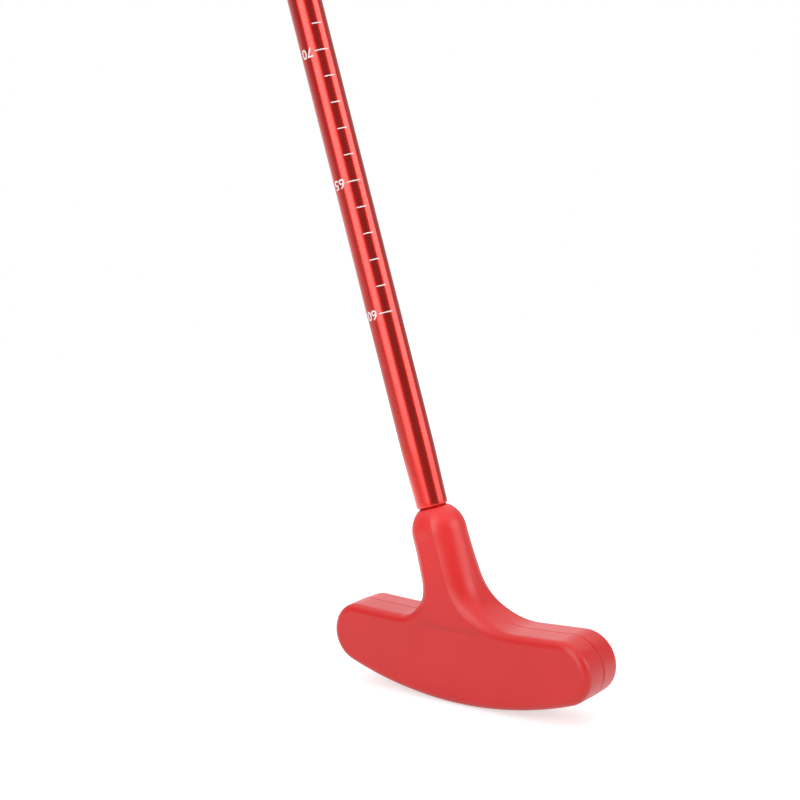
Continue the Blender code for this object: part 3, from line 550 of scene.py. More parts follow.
def makeHead():
    outline = headOutline()
    count = len(outline)
    sections = []
    rises = []
    inwards = []
    shares = []
    for index, (point, blend) in enumerate(outline):
        shares.append(grooveShare(point.y))
        before = outline[max(index - 1, 0)][0]
        after = outline[min(index + 1, count - 1)][0]
        tangent = (after - before).normalized()
        inward = Vector((-tangent.y, tangent.x))
        if index in (0, count - 1):
            inward = sideInPlane if index == 0 else -sideInPlane
        rows, rise = headSection(point, inward, blend)
        sections.append(rows)
        rises.append(rise)
        inwards.append(inward)

    startClean()
    bpy.ops.mesh.primitive_circle_add(vertices=count, radius=halfLength)
    piece = newest("putterHead")
    bpy.ops.object.mode_set(mode="EDIT")
    shape = bmesh.from_edit_mesh(piece.data)
    column = shape.verts.layers.int.new("column")
    for index, vertex in enumerate(shape.verts):
        vertex[column] = index
    for edge in shape.edges:
        ends = {vertex[column] for vertex in edge.verts}
        edge.select_set(ends == {0, count - 1})
    bmesh.update_edit_mesh(piece.data)
    bpy.ops.mesh.select_mode(type="EDGE")
    bpy.ops.mesh.delete(type="EDGE")
    bpy.ops.mesh.select_mode(type="VERT")

    def placeRow(row, side):
        # Moves the selected row to its place. The rear half of the mould stands a little proud at the joint.
        lips = {0: -head["grooveDepth"], 1: -head["grooveDepth"] * 0.5, 2: 0.0, 3: 0.0}
        if side > 0:
            lips = {0: -head["grooveDepth"], 1: 0.0, 2: head["lip"], 3: head["lip"] * 0.5}
        shape = bmesh.from_edit_mesh(piece.data)
        column = shape.verts.layers.int["column"]
        for vertex in shape.verts:
            if vertex.select:
                index = vertex[column]
                place, depth = sections[index][row]
                place = place - inwards[index] * lips.get(row, 0.0) * shares[index]
                vertex.co = (place.x, side * depth, place.y)
        bmesh.update_edit_mesh(piece.data)

    def sweep(side):
        for row in range(1, len(sections[0])):
            bpy.ops.mesh.extrude_edges_move(TRANSFORM_OT_translate={"value": (0.0, 0.0, 0.0)})
            placeRow(row, side)
        # The flat face below the crease is one polygon and the neck's facet above it another.
        low = [index for index, rise in enumerate(rises) if rise == 0.0]
        shape = bmesh.from_edit_mesh(piece.data)
        column = shape.verts.layers.int["column"]
        rim = sorted((vertex for vertex in shape.verts if vertex.select), key=lambda vertex: vertex[column])
        byColumn = {vertex[column]: vertex for vertex in rim}
        first, last = low[0], low[-1]
        lower = [byColumn[index] for index in range(first, last + 1)]
        upper = [byColumn[index] for index in sorted(byColumn) if index <= first]
        upper += [byColumn[index] for index in sorted(byColumn) if index >= last]
        shape.faces.new(lower)
        shape.faces.new(upper)
        for edge in shape.edges:
            edge.select_set(set(edge.verts) == {rim[0], rim[-1]})
        bmesh.update_edit_mesh(piece.data)
        # The front's upper edge takes part in the dome's round.
        bpy.ops.mesh.select_mode(type="EDGE")
        bpy.ops.mesh.subdivide(number_cuts=head["frontCuts"])
        bpy.ops.mesh.select_mode(type="VERT")

    bpy.ops.mesh.select_all(action="SELECT")
    placeRow(0, 1)
    sweep(1)
    pick(piece, lambda co: abs(co.y) < 1e-6)
    sweep(-1)

    def rounder(middle, radius):
        # Draws the selected ring towards a true circle.
        shape = bmesh.from_edit_mesh(piece.data)
        for vertex in shape.verts:
            if vertex.select:
                offset = vertex.co - middle
                vertex.co = middle + offset * (1.0 + head["domeEasing"] * (radius / offset.length - 1.0))
        bmesh.update_edit_mesh(piece.data)

    # The dome over the neck, ring by ring, down into the bore round the rod.
    pickRim()
    station, radius = head["cut"], head["neckRadius"]
    topClimb = math.sqrt(1.0 - (head["domeTop"] / head["neckRadius"]) ** 2)
    rings = [(head["domeStart"], head["neckRadius"])]
    for step in range(1, head["domeSteps"] + 1):
        climb = math.sin(math.asin(topClimb) * step / head["domeSteps"])
        reach = head["neckRadius"] * math.sqrt(1 - climb ** 2)
        rings.append((head["domeStart"] + head["domeHeight"] * climb, reach))
    top = rings[-1][0]
    rings += [(top + 0.03, head["domeTop"] - 0.2), (top + 0.1, head["domeTop"] - 0.5)]
    rings += [(top + head["lipTop"], head["bore"] + 0.25), (top + head["lipTop"], head["bore"])]
    rings += [(top - head["boreDepth"], head["bore"])]
    for nextStation, nextRadius in rings:
        move = shaftUp * (nextStation - station)
        bpy.ops.mesh.extrude_edges_move(TRANSFORM_OT_translate={"value": move})
        middle = planePoint(nextStation, head["neckShift"])
        grow = nextRadius / radius
        bpy.ops.transform.resize(value=(grow, grow, grow), center_override=(middle.x, 0.0, middle.y))
        rounder(Vector((middle.x, 0.0, middle.y)), nextRadius)
        station, radius = nextStation, nextRadius
    bpy.ops.mesh.edge_face_add()
    fixNormals()
    bpy.ops.object.mode_set(mode="OBJECT")
    return settle(piece, headFrame, "lower_section", rubber, ["rubber_head"])


# Pale specks on the rubber, and its painted light and painted shade.
rubberSpecksAndShading = {
    "speck": "#E9A3A0", "speckCell": 13.0, "speckSize": 0.012, "speckSoftness": 1.8, "speckTone": 0.7,
    # painted light: the neck turns a lighter red between these heights from the middle of the head's top
    "neck": "#E02D2C", "neckLightRise": (-6.0, 40.0),
    # the painted shade line: how far below the crease it lies, where it fades in each direction, and how strong
    # it is
    "crease": "#8E1414", "creaseDrop": 1.4, "creaseWidth": (1.7, 0.2), "creaseDepth": (9.5, 10.3),
    "creaseFrom": (-19.0, -13.0), "creaseTo": (15.0, 10.0), "creaseShadeTone": 0.22,
}


def markRubber(tree, places, colour):
    # A few pale specks, painted light that turns the neck a lighter red higher up, and a faint painted shade
    # line where the neck's flat front begins.
    dust = addNode(tree, "ShaderNodeTexVoronoi", {
        "Vector": places, "Scale": perMillimetre / rubberSpecksAndShading["speckCell"], "Randomness": 1.0}, "Distance")
    size = rubberSpecksAndShading["speckSize"]
    speck = addNode(tree, "ShaderNodeMapRange", {
        "Value": dust, "From Min": size, "From Max": size * rubberSpecksAndShading["speckSoftness"],
        "To Min": rubberSpecksAndShading["speckTone"], "To Max": 0.0}, "Result")
    axes = addNode(tree, "ShaderNodeSeparateXYZ", {"Vector": places}).outputs
    # Painted light: the red turns lighter up the neck, for the brighter light that falls there.
    low, high = [headCentre.z + height * mm for height in rubberSpecksAndShading["neckLightRise"]]
    neck = addNode(tree, "ShaderNodeMapRange", {
        "Value": axes["Z"], "From Min": low, "From Max": high}, "Result", interpolation_type="SMOOTHSTEP")
    # Painted shade: a darker band just below the crease, for the shade where the neck's front meets the face.
    lineHeight = headCentre.z + (head["crease"] - rubberSpecksAndShading["creaseDrop"]) * mm
    above = addNode(tree, "ShaderNodeMath", {0: axes["Z"], 1: lineHeight}, "Value", operation="SUBTRACT")
    off = addNode(tree, "ShaderNodeMath", {0: above}, "Value", operation="ABSOLUTE")
    out = addNode(tree, "ShaderNodeMath", {0: axes["Y"]}, "Value", operation="ABSOLUTE")
    along = addNode(tree, "ShaderNodeMath", {0: axes["X"], 1: headCentre.x}, "Value", operation="SUBTRACT")
    line = 1.0
    spans = ((off, "creaseWidth"), (out, "creaseDepth"), (along, "creaseFrom"), (along, "creaseTo"))
    for value, span in spans:
        low, high = [place * mm for place in rubberSpecksAndShading[span]]
        share = addNode(tree, "ShaderNodeMapRange", {
            "Value": value, "From Min": low, "From Max": high}, "Result", interpolation_type="SMOOTHSTEP")
        line = addNode(tree, "ShaderNodeMath", {0: line, 1: share}, "Value", operation="MULTIPLY")
    tone = rubberSpecksAndShading["creaseShadeTone"]
    line = addNode(tree, "ShaderNodeMath", {0: line, 1: tone}, "Value", operation="MULTIPLY")
    # The specks, the painted light on the neck and the painted shade at the crease, laid over the tones.
    for share, tone in ((speck, "speck"), (neck, "neck"), (line, "crease")):
        colour = addNode(tree, "ShaderNodeMix", {
            0: share, 6: colour, 7: linear(rubberSpecksAndShading[tone])}, 2, data_type="RGBA")
    return colour


rubber = makeFinish("mouldedRubber", markRubber)
makeHead()


# Tubes

tube = {
    "wall": 0.9, "fuller": 0.22, "footRadius": 6.0, "footBore": 4.62, "footLip": 1.1, "swageEnd": 97.2,
    "step": 24.0, "break": 0.2, "sides": 128, "slotWidth": 1.2, "slotLength": 22.0,
}


def straightRings(radius, start, end, step):
    count = max(1, round(abs(end - start) / step))
    return [(radius, start + (end - start) * index / count) for index in range(count + 1)]


def makeLowerTube():
    foot, top, radius = stationsOf("lower_tube")
    radius += tube["fuller"]
    lipSteps, swageSteps = 8, 16
    rings = []
    for index in range(lipSteps + 1):
        turn = math.pi / 2 * index / lipSteps
        rings.append((tube["footBore"] + (tube["footRadius"] - tube["footBore"]) * math.sin(turn),
                      foot + tube["footLip"] * (1.0 - math.cos(turn))))
    start = rings[-1][1]
    for index in range(1, swageSteps + 1):
        share = index / swageSteps
        swell = 0.5 * share + 0.5 * easing(share)
        rings.append((tube["footRadius"] + (radius - tube["footRadius"]) * swell,
                      start + (tube["swageEnd"] - start) * share))
    rings += straightRings(radius, tube["swageEnd"], top - tube["break"], tube["step"])[1:]
    rings += [(radius - tube["break"], top), (radius - tube["wall"], top)]
    rings += [(radius - tube["wall"], tube["swageEnd"]), (tube["footBore"], foot + tube["footLip"])]
    piece = turnPiece("lowerTube", rings, sides=tube["sides"])
    return settle(piece, shaftFrame, "lower_section", anodised, ["lower_tube"])


def makeUpperTube():
    start, end, radius = stationsOf("upper_tube")
    edge = tube["break"]
    rings = [(radius - edge, start), (radius, start + edge)]
    rings += straightRings(radius, start + edge, end - edge, tube["step"])[1:]
    rings += [(radius - edge, end), (radius - tube["wall"], end), (radius - tube["wall"], start)]
    piece = turnPiece("upperTube", rings, sides=tube["sides"])
    half = tube["slotWidth"] / 2
    slotEnd = start + tube["slotLength"]
    drill(piece, blockBetween((-radius - 2, -half, start - 2), (radius + 2, half, slotEnd)))
    return settle(piece, shaftFrame, "handle", anodised, ["upper_tube"])


makeLowerTube()
makeUpperTube()


# Scale print. It is laid out flat, x along the tube's round and y up the shaft, and then wrapped. Angles run
# from the front towards the toe.

scale = {
    "lowest": 60, "highest": 90, "lowestStation": 148.55, "step": 10.0, "lineWidth": 0.42,
    "minorAngles": (36.4, 70.5), "majorAngles": (24.4, 71.8), "numberAngle": 15.6, "driftPerMetre": 68.0,
    "numberHeight": 3.7, "numberWidth": 5.0, "bolder": 0.012, "thickness": 0.03, "slice": 0.45,
    "numberEvery": 5, "sliceFrom": -60.0, "sliceTo": 110.0,
}


def flatNumber(text):
    startClean()
    bpy.ops.object.text_add()
    words = bpy.context.object
    words.data.body = text
    words.data.resolution_u = 6
    words.data.offset = scale["bolder"]
    bpy.ops.object.convert(target="MESH")
    words = bpy.context.object
    xs = [vertex.co.x for vertex in words.data.vertices]
    ys = [vertex.co.y for vertex in words.data.vertices]
    width, height = max(xs) - min(xs), max(ys) - min(ys)
    middle = Matrix.Translation((-(min(xs) + max(xs)) / 2, -(min(ys) + max(ys)) / 2, 0.0))
    fit = Matrix.Diagonal((scale["numberWidth"] / width, scale["numberHeight"] / height, 1.0, 1.0))
    words.data.transform(fit @ middle)
    return words


def makeScale():
    radius = stationsOf("lower_tube")[2] + tube["fuller"]
    perDegree = radius * math.radians(1.0)
    parts = []
    for value in range(scale["lowest"], scale["highest"] + 1):
        station = scale["lowestStation"] + (value - scale["lowest"]) * scale["step"]
        drift = scale["driftPerMetre"] * (station - scale["lowestStation"]) * mm
        numbered = value % scale["numberEvery"] == 0
        first, last = scale["majorAngles"] if numbered else scale["minorAngles"]
        first, last = (first + drift) * perDegree, (last + drift) * perDegree
        startClean()
        bpy.ops.mesh.primitive_plane_add(size=1.0)
        tick = bpy.context.object
        size = Matrix.Diagonal((last - first, scale["lineWidth"], 1.0, 1.0))
        tick.data.transform(Matrix.Translation(((first + last) / 2, station, 0.0)) @ size)
        parts.append(tick)
        if numbered:
            words = flatNumber(str(value))
            right = (scale["numberAngle"] + drift) * perDegree
            centre = (right - scale["numberWidth"] / 2, station, 0.0)
            words.data.transform(Matrix.Translation(centre) @ Matrix.Rotation(math.pi, 4, "Z"))
            parts.append(words)
    startClean()
    for part in parts:
        part.select_set(True)
    bpy.context.view_layer.objects.active = parts[0]
    bpy.ops.object.join()
    piece = newest("scalePrint")
    bpy.ops.object.mode_set(mode="EDIT")
    low, high = scale["sliceFrom"] * perDegree, scale["sliceTo"] * perDegree
    cuts = int((high - low) / scale["slice"])
    for index in range(cuts + 1):
        bpy.ops.mesh.select_all(action="SELECT")
        bpy.ops.mesh.bisect(plane_co=(low + index * scale["slice"], 0.0, 0.0), plane_no=(1.0, 0.0, 0.0))
    bpy.ops.mesh.select_all(action="SELECT")
    bpy.ops.mesh.remove_doubles(threshold=0.005)
    bpy.ops.mesh.normals_make_consistent(inside=False)
    bpy.ops.object.mode_set(mode="OBJECT")
    applyModifier(piece, "SOLIDIFY", thickness=scale["thickness"] * 2, offset=0.0)
    bpy.ops.object.mode_set(mode="EDIT")

    def wrap(co):
        turn = co.x / radius
        reach = radius + co.z
        return Vector((reach * math.sin(turn), -reach * math.cos(turn), co.y))

    moveVertices(piece, wrap)
    fixNormals()
    bpy.ops.object.mode_set(mode="OBJECT")
    return settle(piece, shaftFrame, "lower_section", ink, weighted=False)


makeScale()


# Clamp

clamp = {
    "bore": 7.8, "boreEdge": 0.4, "lipBore": 7.0, "lip": 1.5, "radius": 10.2, "edge": 1.0, "split": 2.4,
    "grooveInset": 3.2, "groove": 0.5,
    "earHalfWidth": 6.5, "earHalfHeight": 7.5, "earReach": 19.0, "earRounding": 2.4,
    "screwOffset": 14.2, "screwRadius": 1.5, "clearance": 0.3,
}
clampStart, clampEnd, _ = stationsOf("lock_collar")
clampMiddle = (clampStart + clampEnd) / 2
screwHole = clamp["screwRadius"] + clamp["clearance"]
mouthRing = {"bore": 6.45, "edge": 0.25}


def makeMouthRing():
    start, end, radius = stationsOf("mouth_ring")
    rings = ringProfile(mouthRing["bore"], radius, start, end, mouthRing["edge"])
    return settle(turnPiece("mouthRing", rings), shaftFrame, "handle", acetal, ["mouth_ring"])


def makeCollar():
    radius, bore, groove = clamp["radius"], clamp["bore"], clamp["groove"]
    rings = [(clamp["lipBore"], clampStart)] + roundedRim(radius, clampStart, clamp["edge"], 5, -1)[::-1]
    for place in (clampStart + clamp["grooveInset"], clampEnd - clamp["grooveInset"]):
        rings += [(radius, place - groove), (radius - groove, place - groove * 0.5),
                  (radius - groove, place + groove * 0.5), (radius, place + groove)]
    rings += roundedRim(radius, clampEnd, clamp["edge"], 5)
    rings += [(bore + clamp["boreEdge"], clampEnd), (bore, clampEnd - clamp["boreEdge"])]
    rings += [(bore, clampStart + clamp["lip"]), (clamp["lipBore"], clampStart + clamp["lip"])]
    piece = turnPiece("clampCollar", rings, sides=96)
    ears = blockBetween((-clamp["earReach"], -clamp["earHalfWidth"], clampMiddle - clamp["earHalfHeight"]),
                        (-clamp["bore"] - 0.6, clamp["earHalfWidth"], clampMiddle + clamp["earHalfHeight"]))

    def outerUpright(a, b):
        return max(a.x, b.x) < -clamp["earReach"] + 0.1 and abs(a.y - b.y) > 1.0

    bevelLines(ears, outerUpright, clamp["earRounding"])
    roundEdges(ears, 0.6, 3, 50.0)
    drill(piece, ears, "UNION")
    drill(piece, blockBetween((-2 * clamp["earReach"], -clamp["split"] / 2, clampStart - 5),
                              (-5.0, clamp["split"] / 2, clampEnd + 5)))
    drill(piece, rodAlong("y", screwHole, (-clamp["screwOffset"], 0.0, clampMiddle), 12.0))
    return settle(piece, shaftFrame, "handle", nylon, ["lock_collar"])


makeMouthRing()
makeCollar()


# Cam lever, seen along the shaft: cam round the pin, arm round the collar and a finger tab with ribs.

lever = {
    "pinPlace": (-14.2, -12.5), "pinRadius": 2.75, "pinEdge": 0.45, "pinDimple": 0.9,
    "camRadius": 4.2, "camShift": 0.4, "camArc": (20.0, 270.0),
    "inner": 10.7, "wall": 2.7, "innerArc": (-118.0, -30.0), "outerArc": (-106.5, -32.9),
    # the finger tab's outer and inner end: the angle, and how far it lies outside the arm's outer or inner side
    "tabOuter": (-25.0, 2.4), "tabInner": (-18.0, 3.0),
    "halfHeight": 6.4, "forkHalfGap": 2.6, "forkRoot": 3.6, "outlineSteps": 60,
    "ribs": 5, "ribDepth": 0.45, "ribArc": (-62.0, -36.0), "edge": 0.55,
}


def pointAt(radius, degrees):
    return radius * Vector((math.cos(math.radians(degrees)), math.sin(math.radians(degrees))))


def leverOutline():
    outer = lever["inner"] + lever["wall"]
    camMiddle = Vector(lever["pinPlace"]) + Vector((0.0, lever["camShift"]))
    points = arc(camMiddle, lever["camRadius"], *[math.radians(angle) for angle in lever["camArc"]], 28)
    first, last = lever["outerArc"]
    ribFirst, ribLast = lever["ribArc"]
    for step in range(lever["outlineSteps"] + 1):
        degrees = first + (last - first) * step / lever["outlineSteps"]
        radius = outer
        if ribFirst < degrees < ribLast:
            wave = (degrees - ribFirst) / (ribLast - ribFirst) * lever["ribs"] * math.pi
            radius -= lever["ribDepth"] * math.sin(wave) ** 2
        points.append(pointAt(radius, degrees))
    tipAngle, tipReach = lever["tabOuter"]
    endAngle, endReach = lever["tabInner"]
    tip = outer + tipReach
    points += [pointAt(tip - 0.3, tipAngle - 1.5), pointAt(tip, tipAngle + 1.0)]
    points += [pointAt(tip - 0.9, endAngle - 0.5), pointAt(lever["inner"] + endReach, endAngle)]
    inner = [math.radians(angle) for angle in lever["innerArc"][::-1]]
    return points + arc(Vector((0.0, 0.0)), lever["inner"], *inner, 24)


def makeLever():
    outline = leverOutline()
    startClean()
    bpy.ops.mesh.primitive_circle_add(vertices=len(outline), radius=10.0, fill_type="NGON")
    piece = newest("clampLever")
    bpy.ops.object.mode_set(mode="EDIT")
    shape = bmesh.from_edit_mesh(piece.data)
    for vertex, place in zip(shape.verts, outline):
        vertex.co = (place.x, place.y, clampMiddle - lever["halfHeight"])
    bmesh.update_edit_mesh(piece.data)
    bpy.ops.mesh.select_all(action="SELECT")
    bpy.ops.mesh.extrude_region_move(TRANSFORM_OT_translate={"value": (0.0, 0.0, 2 * lever["halfHeight"])})
    fixNormals()
    bpy.ops.object.mode_set(mode="OBJECT")
    pinX, pinY = lever["pinPlace"]
    forkEnd = clamp["earReach"] + 5.0
    drill(piece, blockBetween((-forkEnd, pinY - 10.0, clampMiddle - lever["forkHalfGap"]),
                              (pinX + lever["forkRoot"], pinY + 10.0, clampMiddle + lever["forkHalfGap"])))
    drill(piece, rodAlong("z", lever["pinRadius"] + clamp["clearance"], (pinX, pinY, clampMiddle), 12.0, 48))
    roundEdges(piece, lever["edge"], 3, 50.0)
    return settle(piece, shaftFrame, "lever", nylon, ["lock_lever"])


def makeLeverPin():
    radius, edge, dimple = lever["pinRadius"], lever["pinEdge"], lever["pinDimple"]
    low, high = clampMiddle - lever["halfHeight"], clampMiddle + lever["halfHeight"]
    rings = [(dimple * 0.3, low + 0.4), (dimple, low), (radius - edge, low), (radius, low + edge),
             (radius, high - edge), (radius - edge, high), (dimple, high), (dimple * 0.3, high - 0.4)]
    piece = turnPiece("leverPin", rings, sides=48, closed=False)
    drill(piece, rodAlong("y", screwHole, (0.0, 0.0, clampMiddle), 6.0))
    place = shaftFrame @ Matrix.Translation((*lever["pinPlace"], 0.0))
    return settle(piece, place, "handle", zinc, ["lever_pin"])


camPlate = {"near": 6.8, "far": 7.6, "halfWidth": 4.5, "corner": 1.0, "edge": 0.15}


def makeCamPlate():
    middle, half = -clamp["screwOffset"], camPlate["halfWidth"]
    piece = blockBetween((middle - half, -camPlate["far"], clampMiddle - lever["halfHeight"]),
                         (middle + half, -camPlate["near"], clampMiddle + lever["halfHeight"]))
    newest("camPlate")
    bevelLines(piece, lambda a, b: abs(a.y - b.y) > 0.5, camPlate["corner"])
    drill(piece, rodAlong("y", screwHole, (middle, -7.0, clampMiddle), 5.0))
    roundEdges(piece, camPlate["edge"], 2, 50.0)
    return settle(piece, shaftFrame, "handle", zinc, ["cam_plate"])


makeLever()
makeLeverPin()
makeCamPlate()


# Screw, washer and knob, shaped along the screw's own axis, whose far end is the rear of the club.

knob = {
    "radius": 6.5, "near": 7.9, "thickness": 5.5, "lobes": 12, "lobeDepth": 0.55,
    "headRadius": 2.9, "head": 2.2, "hex": 1.35, "hexDepth": 1.3,
    "pitch": 0.5, "threadDepth": 0.22, "threadTurns": 12, "tip": -12.5,
}
washer = {"bore": 1.8, "radius": 5.4, "near": 6.8, "far": 7.6, "edge": 0.15}
screwFrame = shaftFrame @ Matrix.Translation((-clamp["screwOffset"], 0.0, clampMiddle))
screwFrame = screwFrame @ Matrix.Rotation(-math.pi / 2, 4, "X")


def makeKnob():
    near, far, radius = knob["near"], knob["near"] + knob["thickness"], knob["radius"]
    seat = far - knob["head"] - 2 * clamp["clearance"]
    well = knob["headRadius"] + clamp["clearance"]
    rings = [(screwHole, near), (radius - 0.8, near), (radius - 0.25, near + 0.25), (radius, near + 0.8),
             (radius, far - 1.0), (radius - 0.3, far - 0.35), (radius - 1.0, far), (well + 0.3, far),
             (well, far - 0.3), (well, seat), (screwHole, seat)]
    piece = turnPiece("tensionKnob", rings, sides=144)
    bpy.ops.object.mode_set(mode="EDIT")

    def flute(co):
        reach = math.hypot(co.x, co.y)
        if reach < radius - 1.2:
            return None
        depth = knob["lobeDepth"] * (0.5 + 0.5 * math.cos(knob["lobes"] * math.atan2(co.y, co.x))) ** 2
        return Vector((co.x * (reach - depth) / reach, co.y * (reach - depth) / reach, co.z))

    moveVertices(piece, flute)
    bpy.ops.object.mode_set(mode="OBJECT")
    return settle(piece, screwFrame, "knob", nylon, ["tension_knob"])


def makeScrew():
    radius, headRadius = clamp["screwRadius"], knob["headRadius"]
    start = knob["near"] + knob["thickness"] - knob["head"] - clamp["clearance"]
    tip = knob["tip"] - radius
    top = start + knob["head"]
    rings = [(radius - 0.4, tip), (radius, tip + 0.4)]
    for index in range(knob["threadTurns"]):
        base = tip + 0.6 + index * knob["pitch"]
        rings += [(radius, base), (radius - knob["threadDepth"], base + knob["pitch"] * 0.5)]
    rings += [(radius, tip + 0.6 + knob["threadTurns"] * knob["pitch"]), (radius, start),
              (headRadius - 0.1, start), (headRadius, start + 0.1), (headRadius, top - 0.4),
              (headRadius - 0.15, top - 0.12), (headRadius - 0.45, top)]
    piece = turnPiece("knobScrew", rings, sides=48, closed=False)
    drill(piece, rodAlong("z", knob["hex"], (0.0, 0.0, top), knob["hexDepth"], 6))
    return settle(piece, screwFrame, "knob", zinc, ["knob_screw"])


def makeWasher():
    rings = ringProfile(washer["bore"], washer["radius"], washer["near"], washer["far"], washer["edge"])
    piece = turnPiece("screwWasher", rings, 64)
    return settle(piece, screwFrame, "handle", zinc, ["screw_washer"])


makeKnob()
makeScrew()
makeWasher()


# Grip

grip = {
    "bore": 8.4, "mouth": 10.0, "butt": 13.2, "swell": ((0.0, 0.0), (0.45, 0.35), (0.85, 0.8), (1.0, 1.0)),
    "sides": 48, "cell": 4.4, "plainMouth": 17.0, "plainButt": 15.0,
    "slotInset": 0.28, "slotSlope": 0.12, "slotDepth": 0.45,
    # the grooves round both ends: how far up from the end, half their width at the top and the bottom, and
    # their depth
    "mouthGrooves": (4.2, 7.2, 10.2), "buttGrooves": (-10.6, -7.6),
    "grooveHalves": (0.7, 0.4), "grooveDepth": 0.55,
}


def gripRadius(share):
    # The taper runs straight from one of the swell's points to the next.
    for (a, growA), (b, growB) in zip(grip["swell"], grip["swell"][1:]):
        if share <= b:
            grow = growA + (growB - growA) * (share - a) / (b - a)
            break
    return grip["mouth"] + (grip["butt"] - grip["mouth"]) * grow


def gripGrooves(end, insets, length):
    top, bottom = grip["grooveHalves"]
    rings = []
    for inset in insets:
        radius = gripRadius(inset / length if inset > 0.0 else 1.0 + inset / length)
        middle, floor = end + inset, radius - grip["grooveDepth"]
        rings += [(radius, middle - top), (floor, middle - bottom),
                  (floor, middle + bottom), (radius, middle + top)]
    return rings


def makeGrip():
    start, end, _ = stationsOf("grip_sleeve")
    length = end - start
    rings = [(grip["bore"], start), (grip["mouth"] - 1.4, start), (grip["mouth"] - 0.5, start + 0.35),
             (grip["mouth"] - 0.1, start + 1.1)]
    rings += gripGrooves(start, grip["mouthGrooves"], length)
    rings.append((gripRadius(13.0 / length), start + 13.0))
    fieldStart, fieldEnd = start + grip["plainMouth"], end - grip["plainButt"]
    count = round((fieldEnd - fieldStart) / grip["cell"])
    cell = (fieldEnd - fieldStart) / count
    for index in range(count + 1):
        station = fieldStart + cell * index
        rings.append((gripRadius((station - start) / length), station))
    rings += gripGrooves(end, grip["buttGrooves"], length)
    rings += [(grip["butt"] - 0.05, end - 0.8), (grip["butt"] - 0.4, end), (grip["bore"], end)]
    piece = turnPiece("gripSleeve", rings, sides=grip["sides"])
    bpy.ops.object.mode_set(mode="EDIT")
    bpy.ops.mesh.select_mode(type="FACE")

    def slotFace(face):
        place = face.calc_center_median()
        if not fieldStart < place.z < fieldEnd or math.hypot(place.x, place.y) < grip["mouth"] - 0.2:
            return False
        row = int((place.z - fieldStart) / cell)
        column = int(math.degrees(math.atan2(place.y, place.x)) % 360.0 / (360.0 / grip["sides"]))
        return (row + column) % 2 == 0

    pickFaces(piece, slotFace)
    bpy.ops.mesh.inset(thickness=grip["slotInset"], depth=0.0, use_individual=True)
    bpy.ops.mesh.inset(thickness=grip["slotSlope"], depth=-grip["slotDepth"], use_individual=True)
    bpy.ops.mesh.select_mode(type="VERT")
    bpy.ops.object.mode_set(mode="OBJECT")
    return settle(piece, shaftFrame, "handle", gripSkin, ["grip_sleeve"], angle=30.0)


def makeGripRing():
    start, end, radius = stationsOf("grip_ring")
    inner, edge = 7.8, 0.3
    rings = [(inner, start), (8.5, start), (8.8, start + edge)]
    for middle in (1.8, 3.4):
        outer = 8.8 + (radius - 8.8) * middle / 5.0
        rings += [(outer - 0.1, start + middle - 0.4), (outer - 0.35, start + middle - 0.2),
                  (outer - 0.35, start + middle + 0.2), (outer + 0.1, start + middle + 0.4)]
    rings += [(radius, start + 5.0), (radius, end - edge), (radius - edge, end), (inner, end)]
    return settle(turnPiece("gripRing", rings), shaftFrame, "handle", nylon, ["grip_ring"])


buttCap = {"head": 7.0, "stem": 6.2, "rounding": 2.5}


def makeButtCap():
    start, end, radius = stationsOf("butt_cap")
    seat = end - buttCap["head"]
    stem = buttCap["stem"]
    rings = [(stem - 0.6, start), (stem, start + 0.6), (stem, seat)]
    rings += [(radius - 0.3, seat), (radius, seat + 0.3)]
    rings += roundedRim(radius, end, buttCap["rounding"], 8)
    # A shallow ring and a vent hole in the top.
    rings += [(8.6, end), (8.3, end - 0.3), (7.9, end - 0.3), (7.6, end)]
    rings += [(1.7, end), (1.4, end - 0.3), (1.4, end - 2.5)]
    piece = turnPiece("buttCap", rings, closed=False)
    return settle(piece, shaftFrame, "handle", nylon, ["butt_cap"])


makeGrip()
makeGripRing()
makeButtCap()


# CAD nodes that stay, inside the head and the tubes, with their real finish.

inside = {
    "weight_bar": zinc, "hosel_rod": zinc, "core_pin": zinc,
    "guide_bush": acetal, "bush_rivet": aluminium, "grip_tape": tapePaper,
}
for node, material in inside.items():
    kept = frame["nodes"][node]
    kept.data.materials.clear()
    kept.data.materials.append(material)
print("inner pieces finished")


# Studio: the camera, a white floor, and a room that lights the club from all round.

view = {
    "from": (0.523714, -0.439363, -0.562281), "azimuth": 39.405, "elevation": 9.191, "roll": -3.274,
    "lens": 69.18, "sensor": 36.0,
}
azimuth, elevation, roll = (math.radians(view[key]) for key in ("azimuth", "elevation", "roll"))
level = Vector((math.cos(azimuth), math.sin(azimuth), 0.0))
flat = math.cos(elevation)
backward = Vector((math.sin(azimuth) * flat, -math.cos(azimuth) * flat, math.sin(elevation)))
upright = backward.cross(level)
right = level * math.cos(roll) + upright * math.sin(roll)
up = backward.cross(right)
lens = bpy.data.cameras.new("photoView")
lens.lens = view["lens"]
lens.sensor_width = view["sensor"]
lens.clip_start = 0.01
camera = bpy.data.objects.new("photoView", lens)
bpy.context.scene.collection.objects.link(camera)
axes = Matrix((right, up, backward)).transposed().to_4x4()
camera.matrix_world = Matrix.Translation(view["from"]) @ axes
bpy.context.scene.camera = camera

